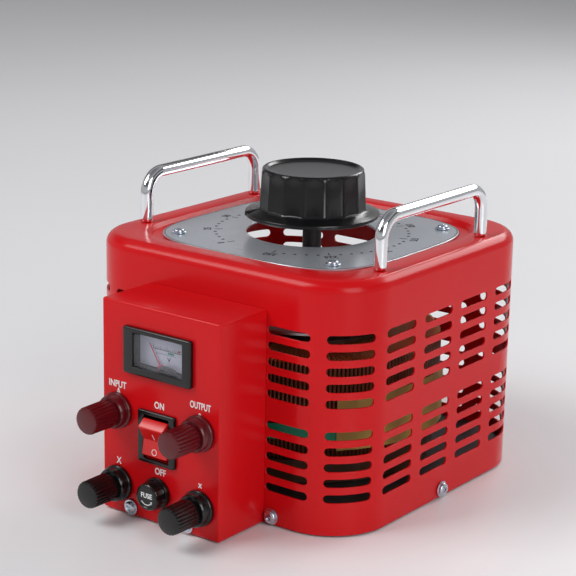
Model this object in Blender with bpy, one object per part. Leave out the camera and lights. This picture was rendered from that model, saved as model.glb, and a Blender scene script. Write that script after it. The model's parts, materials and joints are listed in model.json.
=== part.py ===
"""Variable autotransformer (variac).

A sheet-metal case with louvre slots stands on rubber feet. Its top carries the dial plate, the
control knob and two carrying handles. A terminal box on the front (-Y) holds the voltmeter, the
mains switch, the fuse and four binding posts. Inside are the toroidal core, its winding and the
carbon brush, which the knob turns round the winding's upper track.

Units are metres and +Z is up. The case's own centre line is x = y = 0 on the empty "variac",
which puts the origin at the middle of the bottom of the bounding box.
Run with: blender --background --python part.py
"""
import math

import bmesh
import bpy
from mathutils import Matrix, Vector

MM = 0.001
GAP = 0.3 * MM                       # clearance kept between pieces that touch

# Case. Heights are measured from the lower edge of the case cover.
CASE_WIDTH = 200 * MM
CASE_DEPTH = 197.2 * MM
CASE_HEIGHT = 149 * MM
CASE_CORNER = 37.6 * MM
SHEET = 1.2 * MM
TOP_FILLET = 7 * MM
FOOT_PROUD = 1 * MM                  # how far the feet lift the cover's edge off the floor

# Louvre slots, in columns spaced evenly round the walls from the middle of the rear wall.
COLUMNS_ROUND = 19
COLUMNS_EACH_SIDE = 8                # the column behind the terminal box is left out
SLOT_LENGTH = 29 * MM
SLOT_HEIGHT = 5 * MM
ROW_TOP = 116.05 * MM
ROW_PITCH = 9.38 * MM
ROWS = 11
BLANK_ROW = 5                        # the plain band between the two groups of rows

# Top recess, dial plate and the hole round the shaft.
# The recess and the plate are squares with bowed sides, (half width, exponent) of a superellipse.
RECESS_RIM = (81 * MM, 5)
RECESS_FOOT = (80 * MM, 5)
RECESS_DEPTH = 2.8 * MM
RECESS_WIDER = 1.1 * MM             # the inside skin's recess, beyond the outside skin's
TOP_HOLE_RADIUS = 40 * MM
PLATE_SHAPE = (77 * MM, 3.8)
PLATE_THICK = 1 * MM
PLATE_SCREW_OFFSET = 57.4 * MM
PLATE_TOP = CASE_HEIGHT - RECESS_DEPTH + GAP + PLATE_THICK

# Handles.
HANDLE_X = 87 * MM
HANDLE_SPAN = 106.6 * MM
HANDLE_BAR_Z = 179 * MM
HANDLE_ROD = 3.9 * MM
HANDLE_BEND = 13 * MM
SPIGOT_RADIUS = 2.5 * MM
SPIGOT_END_Z = 141 * MM
HANDLE_NUT_Z = (143 * MM, 146.6 * MM)

# Terminal box.
PANEL_X = -0.85 * MM
PANEL_WIDTH = 87 * MM
PANEL_HEIGHT = 127.4 * MM
PANEL_PROUD = 40.9 * MM
PANEL_FRONT_Y = -CASE_DEPTH / 2 - PANEL_PROUD
PANEL_EDGE = 1 * MM

METER_X = -1.6 * MM
METER_Z = 100.8 * MM
METER_BEZEL = (49.8 * MM, 27.6 * MM)
METER_BODY = (46 * MM, 24.6 * MM)
METER_WINDOW = (36.8 * MM, 20.2 * MM)
METER_WINDOW_SHIFT = (0.4 * MM, 0.8 * MM)     # from the bezel's middle to the window's
METER_CAVITY = (40 * MM, 21 * MM)
METER_PROUD = 3 * MM
METER_LIP = -1 * MM                  # the window opens into the cavity this far from the panel's face
METER_PANE = (0.2 * MM, 1.4 * MM)
METER_DEEP = 26 * MM
NEEDLE_PIVOT = (-4.3 * MM, 92.7 * MM)
NEEDLE_HUB = 1.2 * MM
NEEDLE_LENGTH = 15 * MM
NEEDLE_ZERO = 32.2                   # degrees to the left of upright

SWITCH_X = -2.45 * MM
SWITCH_Z = 51.6 * MM
SWITCH_BEZEL = (27.4 * MM, 31.2 * MM)
SWITCH_BODY = (21 * MM, 27 * MM)
ROCKER_SIZE = (18 * MM, 24 * MM)
SWITCH_PROUD = 2.2 * MM
SWITCH_DEEP = 24 * MM
ROCKER_PIVOT_DEPTH = 3 * MM
ROCKER_THROW = 11                    # degrees from level to each side

POST_X = (-32.3 * MM, 28.6 * MM)
POST_Z = (17.8 * MM, 62.4 * MM)
POST_LENGTH = 27.5 * MM
POST_STUD = 1.8                      # millimetres, radius
POST_COLLAR_TOP = 8                  # millimetres from the panel's face
FUSE_BASE = 3.5                      # millimetres from the panel's face
FUSE_END = 10.3

FUSE_X = -2.4 * MM
FUSE_Z = 18.9 * MM
PANEL_SCREW_X = (-22.7 * MM, 19.4 * MM)
PANEL_SCREW_Z = 4.9 * MM

# Base plate and feet.
TRAY_FLOOR = 12.3 * MM
TRAY_TOP = 13.5 * MM
TRAY_LIP = 1 * MM
TRAY_CLEAR = 0.8 * MM                # between the tray's rim and the inside of the cover
FOOT_PLACE = (68 * MM, 66 * MM)
FOOT_RADIUS = 10 * MM
COVER_SCREW_Z = 5 * MM
FRONT_SCREW_X = 48.2 * MM

# Winding and core. The track that the brush runs on is the winding's flat top.
WINDING_OUTER = 81.5 * MM
WINDING_INNER = 40.5 * MM
WINDING_BOTTOM = 28 * MM
WINDING_TOP = 90 * MM
WINDING_WALL = 2 * MM
RING_CLEAR = 0.8 * MM                # between one faceted ring and the next
WINDING_SPAN = 332                   # degrees
BAND_Z = (42 * MM, 51.5 * MM)
SHEET_Z = (36 * MM, 70 * MM)
SHEET_ANGLES = (-42, 24)             # degrees

# Rotor, and the column that it turns in.
SHAFT_RADIUS = 5.7 * MM
SHAFT_BOTTOM = 18 * MM
SHAFT_TOP = 176 * MM
DISC_RADIUS = 60 * MM
DISC_Z = (98.5 * MM, 100.5 * MM)
BRUSH_RADIUS = 70 * MM
CLAMP_RADIUS = 50 * MM
CLAMP_Z = (WINDING_TOP + GAP, WINDING_TOP + 2.5 * MM)
TUBE_TOP = 95.3 * MM
TUBE_OUTER = 8.5 * MM
TUBE_BORE = SHAFT_RADIUS + GAP
STOP_RADIUS = 26 * MM                # of the stop pin's centre
STOP_PIN = 3 * MM
STOP_LUG = 8                         # degrees from the lug's middle to its edge
KNOB_SKIRT = 41 * MM
KNOB_SKIRT_Z = 157.6 * MM
KNOB_SKIRT_TOP = KNOB_SKIRT_Z + 4.6 * MM
KNOB_BASE = 32.8 * MM
KNOB_TOP = 31.4 * MM
KNOB_TOP_Z = 187 * MM
KNOB_FLUTES = 16
KNOB_FLUTE_DEPTH = 0.9 * MM
POINTER_ANGLE = 229                  # degrees, anticlockwise from +X: the rest position
DIAL_ZERO = 249                      # degrees: where the pointer stands at zero volts
DIAL_SPAN = 325                      # degrees, clockwise to full voltage
GAP_ANGLE = DIAL_ZERO + (360 - DIAL_SPAN) / 2

RED_ENAMEL = ((0.55, 0.008, 0.010), 0.25, 0.0)
CHROME = ((0.80, 0.81, 0.83), 0.10, 1.0)
ZINC = ((0.62, 0.66, 0.72), 0.30, 1.0)
PLATE_SILVER = ((0.66, 0.69, 0.73), 0.35, 0.6)
BLACK_PLASTIC = ((0.012, 0.012, 0.013), 0.30, 0.0)
RED_PLASTIC = ((0.10, 0.004, 0.006), 0.30, 0.0)
ROCKER_RED = ((0.72, 0.01, 0.01), 0.30, 0.0)
GLASS = ((0.80, 0.84, 0.88), 0.05, 0.0)
DIAL_WHITE = ((0.62, 0.62, 0.72), 0.60, 0.0)
NEEDLE_RED = ((0.60, 0.12, 0.18), 0.50, 0.0)
RUBBER = ((0.02, 0.02, 0.02), 0.80, 0.0)
STEEL = ((0.40, 0.41, 0.43), 0.40, 1.0)
DARK_STEEL = ((0.09, 0.09, 0.10), 0.45, 0.6)
CORE_GREY = ((0.16, 0.16, 0.18), 0.60, 0.8)
COPPER = ((0.42, 0.16, 0.07), 0.35, 0.7)
BAND_GREEN = ((0.02, 0.28, 0.16), 0.50, 0.0)
SHEET_TAN = ((0.55, 0.38, 0.10), 0.60, 0.0)
BAKELITE = ((0.10, 0.05, 0.025), 0.45, 0.0)
ALUMINIUM = ((0.68, 0.69, 0.71), 0.35, 1.0)
BRASS = ((0.65, 0.48, 0.18), 0.30, 1.0)
CARBON = ((0.03, 0.03, 0.032), 0.60, 0.2)

for old in list(bpy.data.objects):
    bpy.data.objects.remove(old)

WALL_Y = CASE_DEPTH / 2
SCREW_PROUD = 3.4 * MM
FRONT_MOST = PANEL_FRONT_Y - POST_LENGTH
REAR_MOST = WALL_Y + SCREW_PROUD
root = bpy.data.objects.new("variac", None)
root.location = (0, -(FRONT_MOST + REAR_MOST) / 2, FOOT_PROUD)
bpy.context.scene.collection.objects.link(root)


# ---- building blocks ---------------------------------------------------------------------------

def material(name, look):
    colour, roughness, metallic = look
    made = bpy.data.materials.new(name)
    made.use_nodes = True
    shader = made.node_tree.nodes["Principled BSDF"]
    shader.inputs["Base Color"].default_value = (*colour, 1)
    shader.inputs["Roughness"].default_value = roughness
    shader.inputs["Metallic"].default_value = metallic
    return made


def piece(name, bm, look, place=(0, 0, 0), turn=(0, 0, 0), sharp=35):
    """One named node from a bmesh, hung on the root at place and turned by Euler angles."""
    bmesh.ops.recalc_face_normals(bm, faces=bm.faces)
    mesh = bpy.data.meshes.new(name)
    bm.to_mesh(mesh)
    bm.free()
    mesh.shade_smooth()
    mesh.set_sharp_from_angle(angle=math.radians(sharp))
    obj = bpy.data.objects.new(name, mesh)
    obj.data.materials.append(material(name, look))
    obj.location = place
    obj.rotation_euler = turn
    obj.parent = root
    bpy.context.scene.collection.objects.link(obj)
    return obj


def cutter(name, bm, place=(0, 0, 0), turn=(0, 0, 0)):
    obj = piece(name, bm, STEEL, place, turn)
    obj.hide_render = True
    obj.display_type = "WIRE"
    return obj


def combine(target, tool, operation="DIFFERENCE"):
    change = target.modifiers.new(tool.name, "BOOLEAN")
    change.object = tool
    change.operation = operation
    change.solver = "EXACT"


def circle(radius, steps, start=0.0):
    """Points of a circle in the XY plane, anticlockwise."""
    angles = [start + 2 * math.pi * step / steps for step in range(steps)]
    return [(radius * math.cos(angle), radius * math.sin(angle)) for angle in angles]


def bowed_square(shape, direction):
    """Point of a superellipse in the direction of (x, y)."""
    half, exponent = shape
    x, y = direction
    share = (abs(x) ** exponent + abs(y) ** exponent) ** (1 / exponent)
    return x * half / share, y * half / share


def rounded_rectangle(width, height, radius, steps=2, centre=(0, 0)):
    """Outline of a rectangle with round corners, anticlockwise."""
    outline = []
    for quarter in range(4):
        side_x = 1 if quarter in (0, 3) else -1
        side_y = 1 if quarter in (0, 1) else -1
        for step in range(steps + 1):
            angle = math.pi / 2 * (quarter + step / steps)
            x = centre[0] + side_x * (width / 2 - radius) + radius * math.cos(angle)
            y = centre[1] + side_y * (height / 2 - radius) + radius * math.sin(angle)
            outline.append((x, y))
    return outline


def stack(rings, ends="cap", bm=None):
    """Solid through equal rings of 3-D points. ends: cap both ends, or join the last to the first."""
    bm = bm or bmesh.new()
    loops = [[bm.verts.new(point) for point in ring] for ring in rings]
    count = len(rings[0])
    pairs = list(zip(loops, loops[1:]))
    if ends == "join":
        pairs.append((loops[-1], loops[0]))
    else:
        bm.faces.new(loops[0])
        bm.faces.new(loops[-1])
    for lower, upper in pairs:
        for step in range(count):
            after = (step + 1) % count
            bm.faces.new((lower[step], lower[after], upper[after], upper[step]))
    return bm


def prism(outline, low, high, bm=None):
    """Outline in the XY plane, extruded from height low to height high."""
    return stack([[(x, y, z) for x, y in outline] for z in (low, high)], bm=bm)


def in_mm(points):
    return [(radius * MM, z * MM) for radius, z in points]


def turned(profile, steps=24, bm=None):
    """Solid of revolution about Z. A profile that meets the axis starts and ends on it."""
    bm = bm or bmesh.new()
    points = [bm.verts.new((radius, 0, z)) for radius, z in profile]
    edges = [bm.edges.new(pair) for pair in zip(points, points[1:])]
    if profile[0][0] > 0:
        edges.append(bm.edges.new((points[-1], points[0])))
    bmesh.ops.spin(bm, geom=points + edges, cent=(0, 0, 0), axis=(0, 0, 1),
                   angle=2 * math.pi, steps=steps, use_merge=True)
    bmesh.ops.remove_doubles(bm, verts=bm.verts, dist=1e-7)
    return bm


def ring_sector(profile, start, end, steps):
    """A closed profile of (radius, z) points swept from angle start to angle end, in degrees."""
    rings = []
    for step in range(steps + 1):
        angle = math.radians(start + (end - start) * step / steps)
        rings.append([(r * math.cos(angle), r * math.sin(angle), z) for r, z in profile])
    return rings


def ring_prism(outer, inner, low, high):
    """Flat ring between two outlines with the same number of points."""
    rings = [[(x, y, low) for x, y in outer], [(x, y, high) for x, y in outer],
             [(x, y, high) for x, y in inner], [(x, y, low) for x, y in inner]]
    return stack(rings, ends="join")


def joined(bodies):
    """One bmesh that holds several separate cutters."""
    whole = bmesh.new()
    for body, matrix in bodies:
        mesh = bpy.data.meshes.new("temporary")
        bmesh.ops.recalc_face_normals(body, faces=body.faces)
        bmesh.ops.transform(body, matrix=matrix, verts=body.verts)
        body.to_mesh(mesh)
        body.free()
        whole.from_mesh(mesh)
        bpy.data.meshes.remove(mesh)
    return whole


def drill(radius, low, high, x=0.0, y=0.0):
    """A straight cutter along Z."""
    return prism(circle(radius, 12), low, high), Matrix.Translation((x, y, 0))


# ---- case cover --------------------------------------------------------------------------------

HALF_REAR = CASE_WIDTH / 2 - CASE_CORNER
CORNER_ARC = CASE_CORNER * math.pi / 2
SIDE_RUN = CASE_DEPTH - 2 * CASE_CORNER
PERIMETER = 4 * HALF_REAR + 4 * CORNER_ARC + 2 * SIDE_RUN
COLUMN_PITCH = PERIMETER / COLUMNS_ROUND


def wall_point(distance, inset=0.0):
    """Point of the wall at a distance along it from the middle of the rear, towards +X."""
    side = 1 if distance >= 0 else -1
    run = abs(distance)
    radius = CASE_CORNER - inset
    centre_x = HALF_REAR
    centre_y = SIDE_RUN / 2
    if run <= HALF_REAR:
        return side * run, centre_y + radius
    run -= HALF_REAR
    if run <= CORNER_ARC:
        angle = run / CASE_CORNER
        return side * (centre_x + radius * math.sin(angle)), centre_y + radius * math.cos(angle)
    run -= CORNER_ARC
    if run <= SIDE_RUN:
        return side * (centre_x + radius), centre_y - run
    run -= SIDE_RUN
    if run <= CORNER_ARC:
        angle = run / CASE_CORNER
        return side * (centre_x + radius * math.cos(angle)), -centre_y - radius * math.sin(angle)
    run -= CORNER_ARC
    return side * (centre_x - run), -centre_y - radius


def turning(start, end):
    """How far the wall turns between two distances along it, in radians."""
    total = 0.0
    for corner_start in (HALF_REAR, HALF_REAR + CORNER_ARC + SIDE_RUN):
        low = max(min(abs(start), abs(end)), corner_start)
        high = min(max(abs(start), abs(end)), corner_start + CORNER_ARC)
        total += max(high - low, 0.0) / CASE_CORNER
    return total


def slot_columns():
    """For each column, the distances of its left tip, of the slot's straight edge, and of its right tip."""
    columns = []
    for number in range(-COLUMNS_EACH_SIDE, COLUMNS_EACH_SIDE + 1):
        middle = number * COLUMN_PITCH
        left = middle - SLOT_LENGTH / 2
        right = middle + SLOT_LENGTH / 2
        start = left + SLOT_HEIGHT / 2
        end = right - SLOT_HEIGHT / 2
        parts = max(1, round(math.degrees(turning(left, right)) / 13))
        edge = [start + (end - start) * part / parts for part in range(parts + 1)]
        columns.append((left, edge, right))
    return columns


def slot_rows():
    return [ROW_TOP - row * ROW_PITCH for row in range(ROWS) if row != BLANK_ROW]


def case_cover():
    bm = bmesh.new()
    made = {}

    def corner(inset, distance, z):
        key = (round(inset, 7), round(distance, 6), round(z, 6))
        if key not in made:
            x, y = wall_point(distance, inset)
            made[key] = bm.verts.new((x, y, z))
        return made[key]

    def both_faces(outline):
        for inset in (0.0, SHEET):
            bm.faces.new([corner(inset, distance, z) for distance, z in outline])

    def cut_edge(outline):
        for (d0, z0), (d1, z1) in zip(outline, outline[1:] + outline[:1]):
            bm.faces.new((corner(0.0, d0, z0), corner(0.0, d1, z1),
                          corner(SHEET, d1, z1), corner(SHEET, d0, z0)))

    columns = slot_columns()
    rows = slot_rows()
    half = SLOT_HEIGHT / 2
    wall_top = CASE_HEIGHT - TOP_FILLET
    bands = [(wall_top, rows[0] + half)]
    bands += [(upper - half, lower + half) for upper, lower in zip(rows, rows[1:])]
    bands.append((rows[-1] - half, 0.0))
    ring = [distance for _, edge, _ in columns for distance in edge]
    for high, low in bands:
        for start, end in zip(ring, ring[1:] + ring[:1]):
            both_faces([(start, high), (end, high), (end, low), (start, low)])
    for z in rows:
        for (_, edge, tip), (next_tip, next_edge, _) in zip(columns, columns[1:] + columns[:1]):
            both_faces([(edge[-1], z + half), (next_edge[0], z + half), (next_tip, z), (tip, z)])
            both_faces([(tip, z), (next_tip, z), (next_edge[0], z - half), (edge[-1], z - half)])
        for left, edge, right in columns:
            upper = [(distance, z + half) for distance in edge]
            lower = [(distance, z - half) for distance in reversed(edge)]
            cut_edge([(left, z)] + upper + [(right, z)] + lower)

    def level(inset, z):
        return [corner(inset, distance, z) for distance in ring]

    def recess(shape, z):
        return [bm.verts.new((*bowed_square(shape, wall_point(distance)), z)) for distance in ring]

    def hole(z):
        return recess((TOP_HOLE_RADIUS + 1 * MM, 2), z)

    outside = [level(0.0, wall_top)]
    inside = [level(SHEET, wall_top)]
    for step in (1, 2, 3):
        angle = math.pi / 2 * step / 3
        for skin, inset in ((outside, 0.0), (inside, SHEET)):
            radius = TOP_FILLET - inset
            skin.append(level(TOP_FILLET - radius * math.cos(angle),
                              wall_top + radius * math.sin(angle)))
    floor = CASE_HEIGHT - RECESS_DEPTH
    outside.append(recess(RECESS_RIM, CASE_HEIGHT))
    outside.append(recess(RECESS_FOOT, floor))
    outside.append(hole(floor))
    inside.append(recess((RECESS_RIM[0] + RECESS_WIDER, RECESS_RIM[1]), CASE_HEIGHT - SHEET))
    inside.append(recess((RECESS_FOOT[0] + RECESS_WIDER, RECESS_FOOT[1]), floor - SHEET))
    inside.append(hole(floor - SHEET))
    pairs = list(zip(outside, outside[1:])) + list(zip(inside, inside[1:]))
    pairs.append((outside[-1], inside[-1]))
    pairs.append((level(0.0, 0.0), level(SHEET, 0.0)))
    for one, other in pairs:
        for step in range(len(ring)):
            after = (step + 1) % len(ring)
            bm.faces.new((one[step], one[after], other[after], other[step]))
    return piece("case_cover", bm, RED_ENAMEL)


# ---- fasteners ---------------------------------------------------------------------------------

def screw(name, place, turn, shank, head=(4.0, 2.1), washer=5.0, length=5.0):
    """Pan-head screw along local Z, seated at z = 0, with its washer. Sizes in millimetres."""
    head_radius, head_height = head
    seat = GAP
    top = seat + (0.9 + head_height) * MM
    profile = [(0, -length * MM), (shank * MM, -length * MM), (shank * MM, seat)]
    profile += [(washer * MM, seat), (washer * MM, seat + 0.9 * MM), (head_radius * MM, seat + 0.9 * MM)]
    profile += [(head_radius * MM * 0.92, top - 0.7 * MM), (head_radius * MM * 0.6, top), (0, top)]
    return piece(name, turned(profile, 10), ZINC, place, turn)


FACE_FRONT = (math.pi / 2, 0, 0)
FACE_REAR = (math.pi / 2, 0, math.pi)
FACE_RIGHT = (math.pi / 2, 0, math.pi / 2)
FACE_LEFT = (math.pi / 2, 0, -math.pi / 2)
COVER_SCREWS = {
    "cover_screw_front": ((FRONT_SCREW_X, -WALL_Y, COVER_SCREW_Z), FACE_FRONT),
    "cover_screw_rear": ((0, WALL_Y, COVER_SCREW_Z), FACE_REAR),
    "cover_screw_right": ((CASE_WIDTH / 2, 0, COVER_SCREW_Z), FACE_RIGHT),
    "cover_screw_left": ((-CASE_WIDTH / 2, 0, COVER_SCREW_Z), FACE_LEFT),
}


def cover_screws(cover, tray):
    holes = []
    for name, (place, turn) in COVER_SCREWS.items():
        screw(name, place, turn, 1.8, head=(4.0, SCREW_PROUD / MM - 1.2), washer=4.9)
        spin = Matrix.Rotation(turn[2], 4, "Z") @ Matrix.Rotation(turn[0], 4, "X")
        holes.append((prism(circle(2.1 * MM, 12), -8 * MM, 2 * MM), Matrix.Translation(place) @ spin))
    tool = cutter("cover_screw_holes", joined(holes))
    combine(cover, tool)
    combine(tray, tool)


# ---- base --------------------------------------------------------------------------------------

def base_plate():
    """Pressed plate whose rim turns down inside the cover."""
    distances = []
    for side in (-1, 1):
        run = [HALF_REAR + CORNER_ARC * step / 5 for step in range(6)]
        run += [HALF_REAR + CORNER_ARC + SIDE_RUN + CORNER_ARC * step / 5 for step in range(6)]
        distances += sorted(side * distance for distance in run)

    def level(inset, z):
        return [(*wall_point(distance, inset), z) for distance in distances]

    outer = SHEET + TRAY_CLEAR
    inner = outer + SHEET
    rings = [level(outer + 3 * MM, TRAY_TOP), level(outer, TRAY_TOP - 1.5 * MM), level(outer, TRAY_LIP),
             level(inner, TRAY_LIP), level(inner, TRAY_FLOOR - 1.5 * MM), level(inner + 3 * MM, TRAY_FLOOR)]
    return piece("base_plate", stack(rings), DARK_STEEL)


def feet():
    profile = [(0, -FOOT_PROUD), (FOOT_RADIUS * 0.86, -FOOT_PROUD), (FOOT_RADIUS, 1 * MM),
               (FOOT_RADIUS, TRAY_FLOOR - GAP), (0, TRAY_FLOOR - GAP)]
    x, y = FOOT_PLACE
    places = {"front_left": (-x, -y), "front_right": (x, -y), "rear_left": (-x, y), "rear_right": (x, y)}
    for name, (foot_x, foot_y) in places.items():
        piece("foot_" + name, turned(profile, 16), RUBBER, (foot_x, foot_y, 0))


# ---- top: dial plate, handles ------------------------------------------------------------------

CORNERS = {"front_left": (-1, -1), "front_right": (1, -1), "rear_left": (-1, 1), "rear_right": (1, 1)}


def dial_plate(cover):
    directions = circle(1, 48)
    outer = [bowed_square(PLATE_SHAPE, direction) for direction in directions]
    inner = [(x * TOP_HOLE_RADIUS, y * TOP_HOLE_RADIUS) for x, y in directions]
    low = PLATE_TOP - PLATE_THICK
    plate = piece("dial_plate", ring_prism(outer, inner, low, PLATE_TOP), PLATE_SILVER)
    offset = PLATE_SCREW_OFFSET
    through = (CASE_HEIGHT - 2 * TOP_FILLET, CASE_HEIGHT + TOP_FILLET)
    holes = [drill(1.9 * MM, *through, x * offset, y * offset) for x, y in CORNERS.values()]
    handle_y = HANDLE_SPAN / 2
    spigots = [drill(2.9 * MM, *through, x * HANDLE_X, y * handle_y) for x, y in CORNERS.values()]
    tool = cutter("top_holes", joined(holes + spigots))
    combine(plate, tool)
    combine(cover, tool)
    for name, (x, y) in CORNERS.items():
        screw("dial_screw_" + name, (x * offset, y * offset, PLATE_TOP), (0, 0, 0), 1.5,
              head=(3.3, 1.5), washer=4.4, length=6.0)


def handle(name, x):
    """Chromed rod bent into a flat arch, with a threaded spigot at each end."""
    path = []
    half = HANDLE_SPAN / 2
    for side in (-1, 1):
        arm = [(side * half, SPIGOT_END_Z, SPIGOT_RADIUS), (side * half, CASE_HEIGHT + GAP, SPIGOT_RADIUS),
               (side * half, CASE_HEIGHT + GAP, HANDLE_ROD)]
        for step in range(4):
            angle = math.pi / 2 * step / 3
            y = half - HANDLE_BEND + HANDLE_BEND * math.cos(angle)
            z = HANDLE_BAR_Z - HANDLE_BEND + HANDLE_BEND * math.sin(angle)
            arm.append((side * y, z, HANDLE_ROD))
        path += arm if side < 0 else arm[::-1]
    rings = []
    for number, (y, z, radius) in enumerate(path):
        before = Vector(path[max(number - 1, 0)][:2])
        after = Vector(path[min(number + 1, len(path) - 1)][:2])
        along = (after - before).normalized()
        if radius == SPIGOT_RADIUS or number in (2, len(path) - 3):
            along = Vector((0, 1 if number < len(path) / 2 else -1))
        ring = []
        for across, out in circle(radius, 10):
            ring.append((across, y - along.y * out, z + along.x * out))
        rings.append(ring)
    piece(name, stack(rings), CHROME, (x, 0, 0))


def handles():
    handle("handle_left", -HANDLE_X)
    handle("handle_right", HANDLE_X)
    for name, (x, y) in CORNERS.items():
        nut = ring_prism(circle(4.5 * MM, 12), circle(SPIGOT_RADIUS + GAP, 12), *HANDLE_NUT_Z)
        piece("handle_nut_" + name, nut, ZINC, (x * HANDLE_X, y * HANDLE_SPAN / 2, 0))


# ---- terminal box ------------------------------------------------------------------------------

def on_panel(name, bm, look, x, z, sharp=35):
    """A piece whose local Z points straight out of the panel, with z = 0 on the panel's face."""
    return piece(name, bm, look, (x, PANEL_FRONT_Y, z), FACE_FRONT, sharp)


def panel_box():
    back = -PANEL_PROUD + GAP
    middle = PANEL_HEIGHT / 2

    def level(shrink, depth):
        outline = rounded_rectangle(PANEL_WIDTH - 2 * shrink, PANEL_HEIGHT - 2 * shrink, PANEL_EDGE)
        return [(x, y, depth) for x, y in outline]

    inner = SHEET
    rings = [level(inner, -SHEET), level(inner, back), level(0, back), level(0, -PANEL_EDGE),
             level(PANEL_EDGE * 0.3, -PANEL_EDGE * 0.3), level(PANEL_EDGE, 0)]
    box = on_panel("panel_box", stack(rings), RED_ENAMEL, PANEL_X, middle)
    meter_hole = rounded_rectangle(METER_BODY[0] + 2 * GAP, METER_BODY[1] + 2 * GAP, 1 * MM)
    switch_hole = rounded_rectangle(SWITCH_BODY[0] + 2 * GAP, SWITCH_BODY[1] + 2 * GAP, 1 * MM)
    low = -SHEET - 2 * MM
    high = 2 * MM
    cuts = [(prism(meter_hole, low, high), Matrix.Translation((METER_X, METER_Z, 0))),
            (prism(switch_hole, low, high), Matrix.Translation((SWITCH_X, SWITCH_Z, 0))),
            drill(6.4 * MM, low, high, FUSE_X, FUSE_Z)]
    cuts += [drill(2.1 * MM, low, high, x, PANEL_SCREW_Z) for x in PANEL_SCREW_X]
    cuts += [drill(5.4 * MM, low, high, x, z) for x in POST_X for z in POST_Z]
    combine(box, cutter("panel_holes", joined(cuts), (0, PANEL_FRONT_Y, 0), FACE_FRONT))
    for name, x in zip(("left", "right"), PANEL_SCREW_X):
        place = (x, PANEL_FRONT_Y, PANEL_SCREW_Z)
        screw("panel_screw_" + name, place, FACE_FRONT, 1.8, head=(3.6, 1.8), washer=4.8)


def voltmeter():
    def level(size, depth, radius=1.0, centre=(0, 0)):
        return [(x, y, depth) for x, y in rounded_rectangle(*size, radius * MM, 2, centre)]

    window = METER_WINDOW_SHIFT
    floor = -7 * MM
    rings = [level(METER_BODY, -METER_DEEP), level(METER_BODY, GAP), level(METER_BEZEL, GAP),
             level(METER_BEZEL, METER_PROUD - 0.8 * MM),
             level([side - 1.6 * MM for side in METER_BEZEL], METER_PROUD),
             level(METER_WINDOW, METER_PROUD, 0.5, window), level(METER_WINDOW, METER_LIP, 0.5, window),
             level(METER_CAVITY, METER_LIP, 0.5, window), level(METER_CAVITY, floor, 0.5, window)]
    on_panel("meter_case", stack(rings), BLACK_PLASTIC, METER_X, METER_Z)
    pane = [side - 2 * GAP for side in METER_WINDOW]
    pane_x = METER_X + window[0]
    pane_z = METER_Z + window[1]
    on_panel("meter_window", prism(rounded_rectangle(*pane, 0.5 * MM), *METER_PANE), GLASS, pane_x, pane_z)
    card = [side - 2 * GAP for side in METER_CAVITY]
    on_panel("meter_dial", prism(rounded_rectangle(*card, 0.5 * MM), floor + GAP, floor + 1.1 * MM),
             DIAL_WHITE, pane_x, pane_z)
    bm = turned([(0, -5.4 * MM), (NEEDLE_HUB, -5.4 * MM), (NEEDLE_HUB, -3.2 * MM), (0, -3.2 * MM)], 12)
    lean = math.radians(90 + NEEDLE_ZERO)
    hub = on_panel("meter_needle", bm, NEEDLE_RED, *NEEDLE_PIVOT)
    root_half = 0.5 * MM
    tip_half = 0.2 * MM
    blade = [(root_half, -root_half), (NEEDLE_LENGTH, -tip_half),
             (NEEDLE_LENGTH, tip_half), (root_half, root_half)]
    turn = Matrix.Rotation(lean, 4, "Z")
    arm = joined([(prism(blade, -4.6 * MM, -4.1 * MM), turn)])
    combine(hub, cutter("needle_blade", arm, (NEEDLE_PIVOT[0], PANEL_FRONT_Y, NEEDLE_PIVOT[1]), FACE_FRONT),
            "UNION")


def rocker_outline():
    """Side view of the rocker about its pivot: (height on the panel, distance out)."""
    half = ROCKER_SIZE[1] / 2
    tilt = math.radians(ROCKER_THROW)
    ridge = half * 0.725
    ridge_out = 8.4 * MM
    tip_out = 2.6 * MM
    face = [(-half, tip_out), (-ridge, ridge_out), (0, 5.4 * MM), (ridge, ridge_out), (half, tip_out)]
    back = [(half * 0.75, -2 * MM), (0, -4.5 * MM), (-half * 0.75, -2 * MM)]
    outline = []
    for up, out in face + back:
        tilted_up = up * math.cos(tilt) - out * math.sin(tilt)
        tilted_out = up * math.sin(tilt) + out * math.cos(tilt)
        outline.append((tilted_up, tilted_out))
    return outline


def mains_switch():
    def level(size, depth, radius=1.0):
        return [(x, y, depth) for x, y in rounded_rectangle(*size, radius * MM)]

    opening = [side + 2.4 * GAP for side in ROCKER_SIZE]
    opening[1] += 1.6 * MM
    rings = [level(SWITCH_BODY, -SWITCH_DEEP), level(SWITCH_BODY, GAP), level(SWITCH_BEZEL, GAP),
             level(SWITCH_BEZEL, SWITCH_PROUD - 0.7 * MM),
             level([side - 1.4 * MM for side in SWITCH_BEZEL], SWITCH_PROUD),
             level(opening, SWITCH_PROUD, 0.5), level(opening, -11 * MM, 0.5)]
    on_panel("switch_body", stack(rings), BLACK_PLASTIC, SWITCH_X, SWITCH_Z)
    half = ROCKER_SIZE[0] / 2
    outline = rocker_outline()
    rings = [[(x, up, out) for up, out in outline] for x in (-half, half)]
    piece("switch_rocker", stack(rings), ROCKER_RED,
          (SWITCH_X, PANEL_FRONT_Y + ROCKER_PIVOT_DEPTH, SWITCH_Z), FACE_FRONT)


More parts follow.
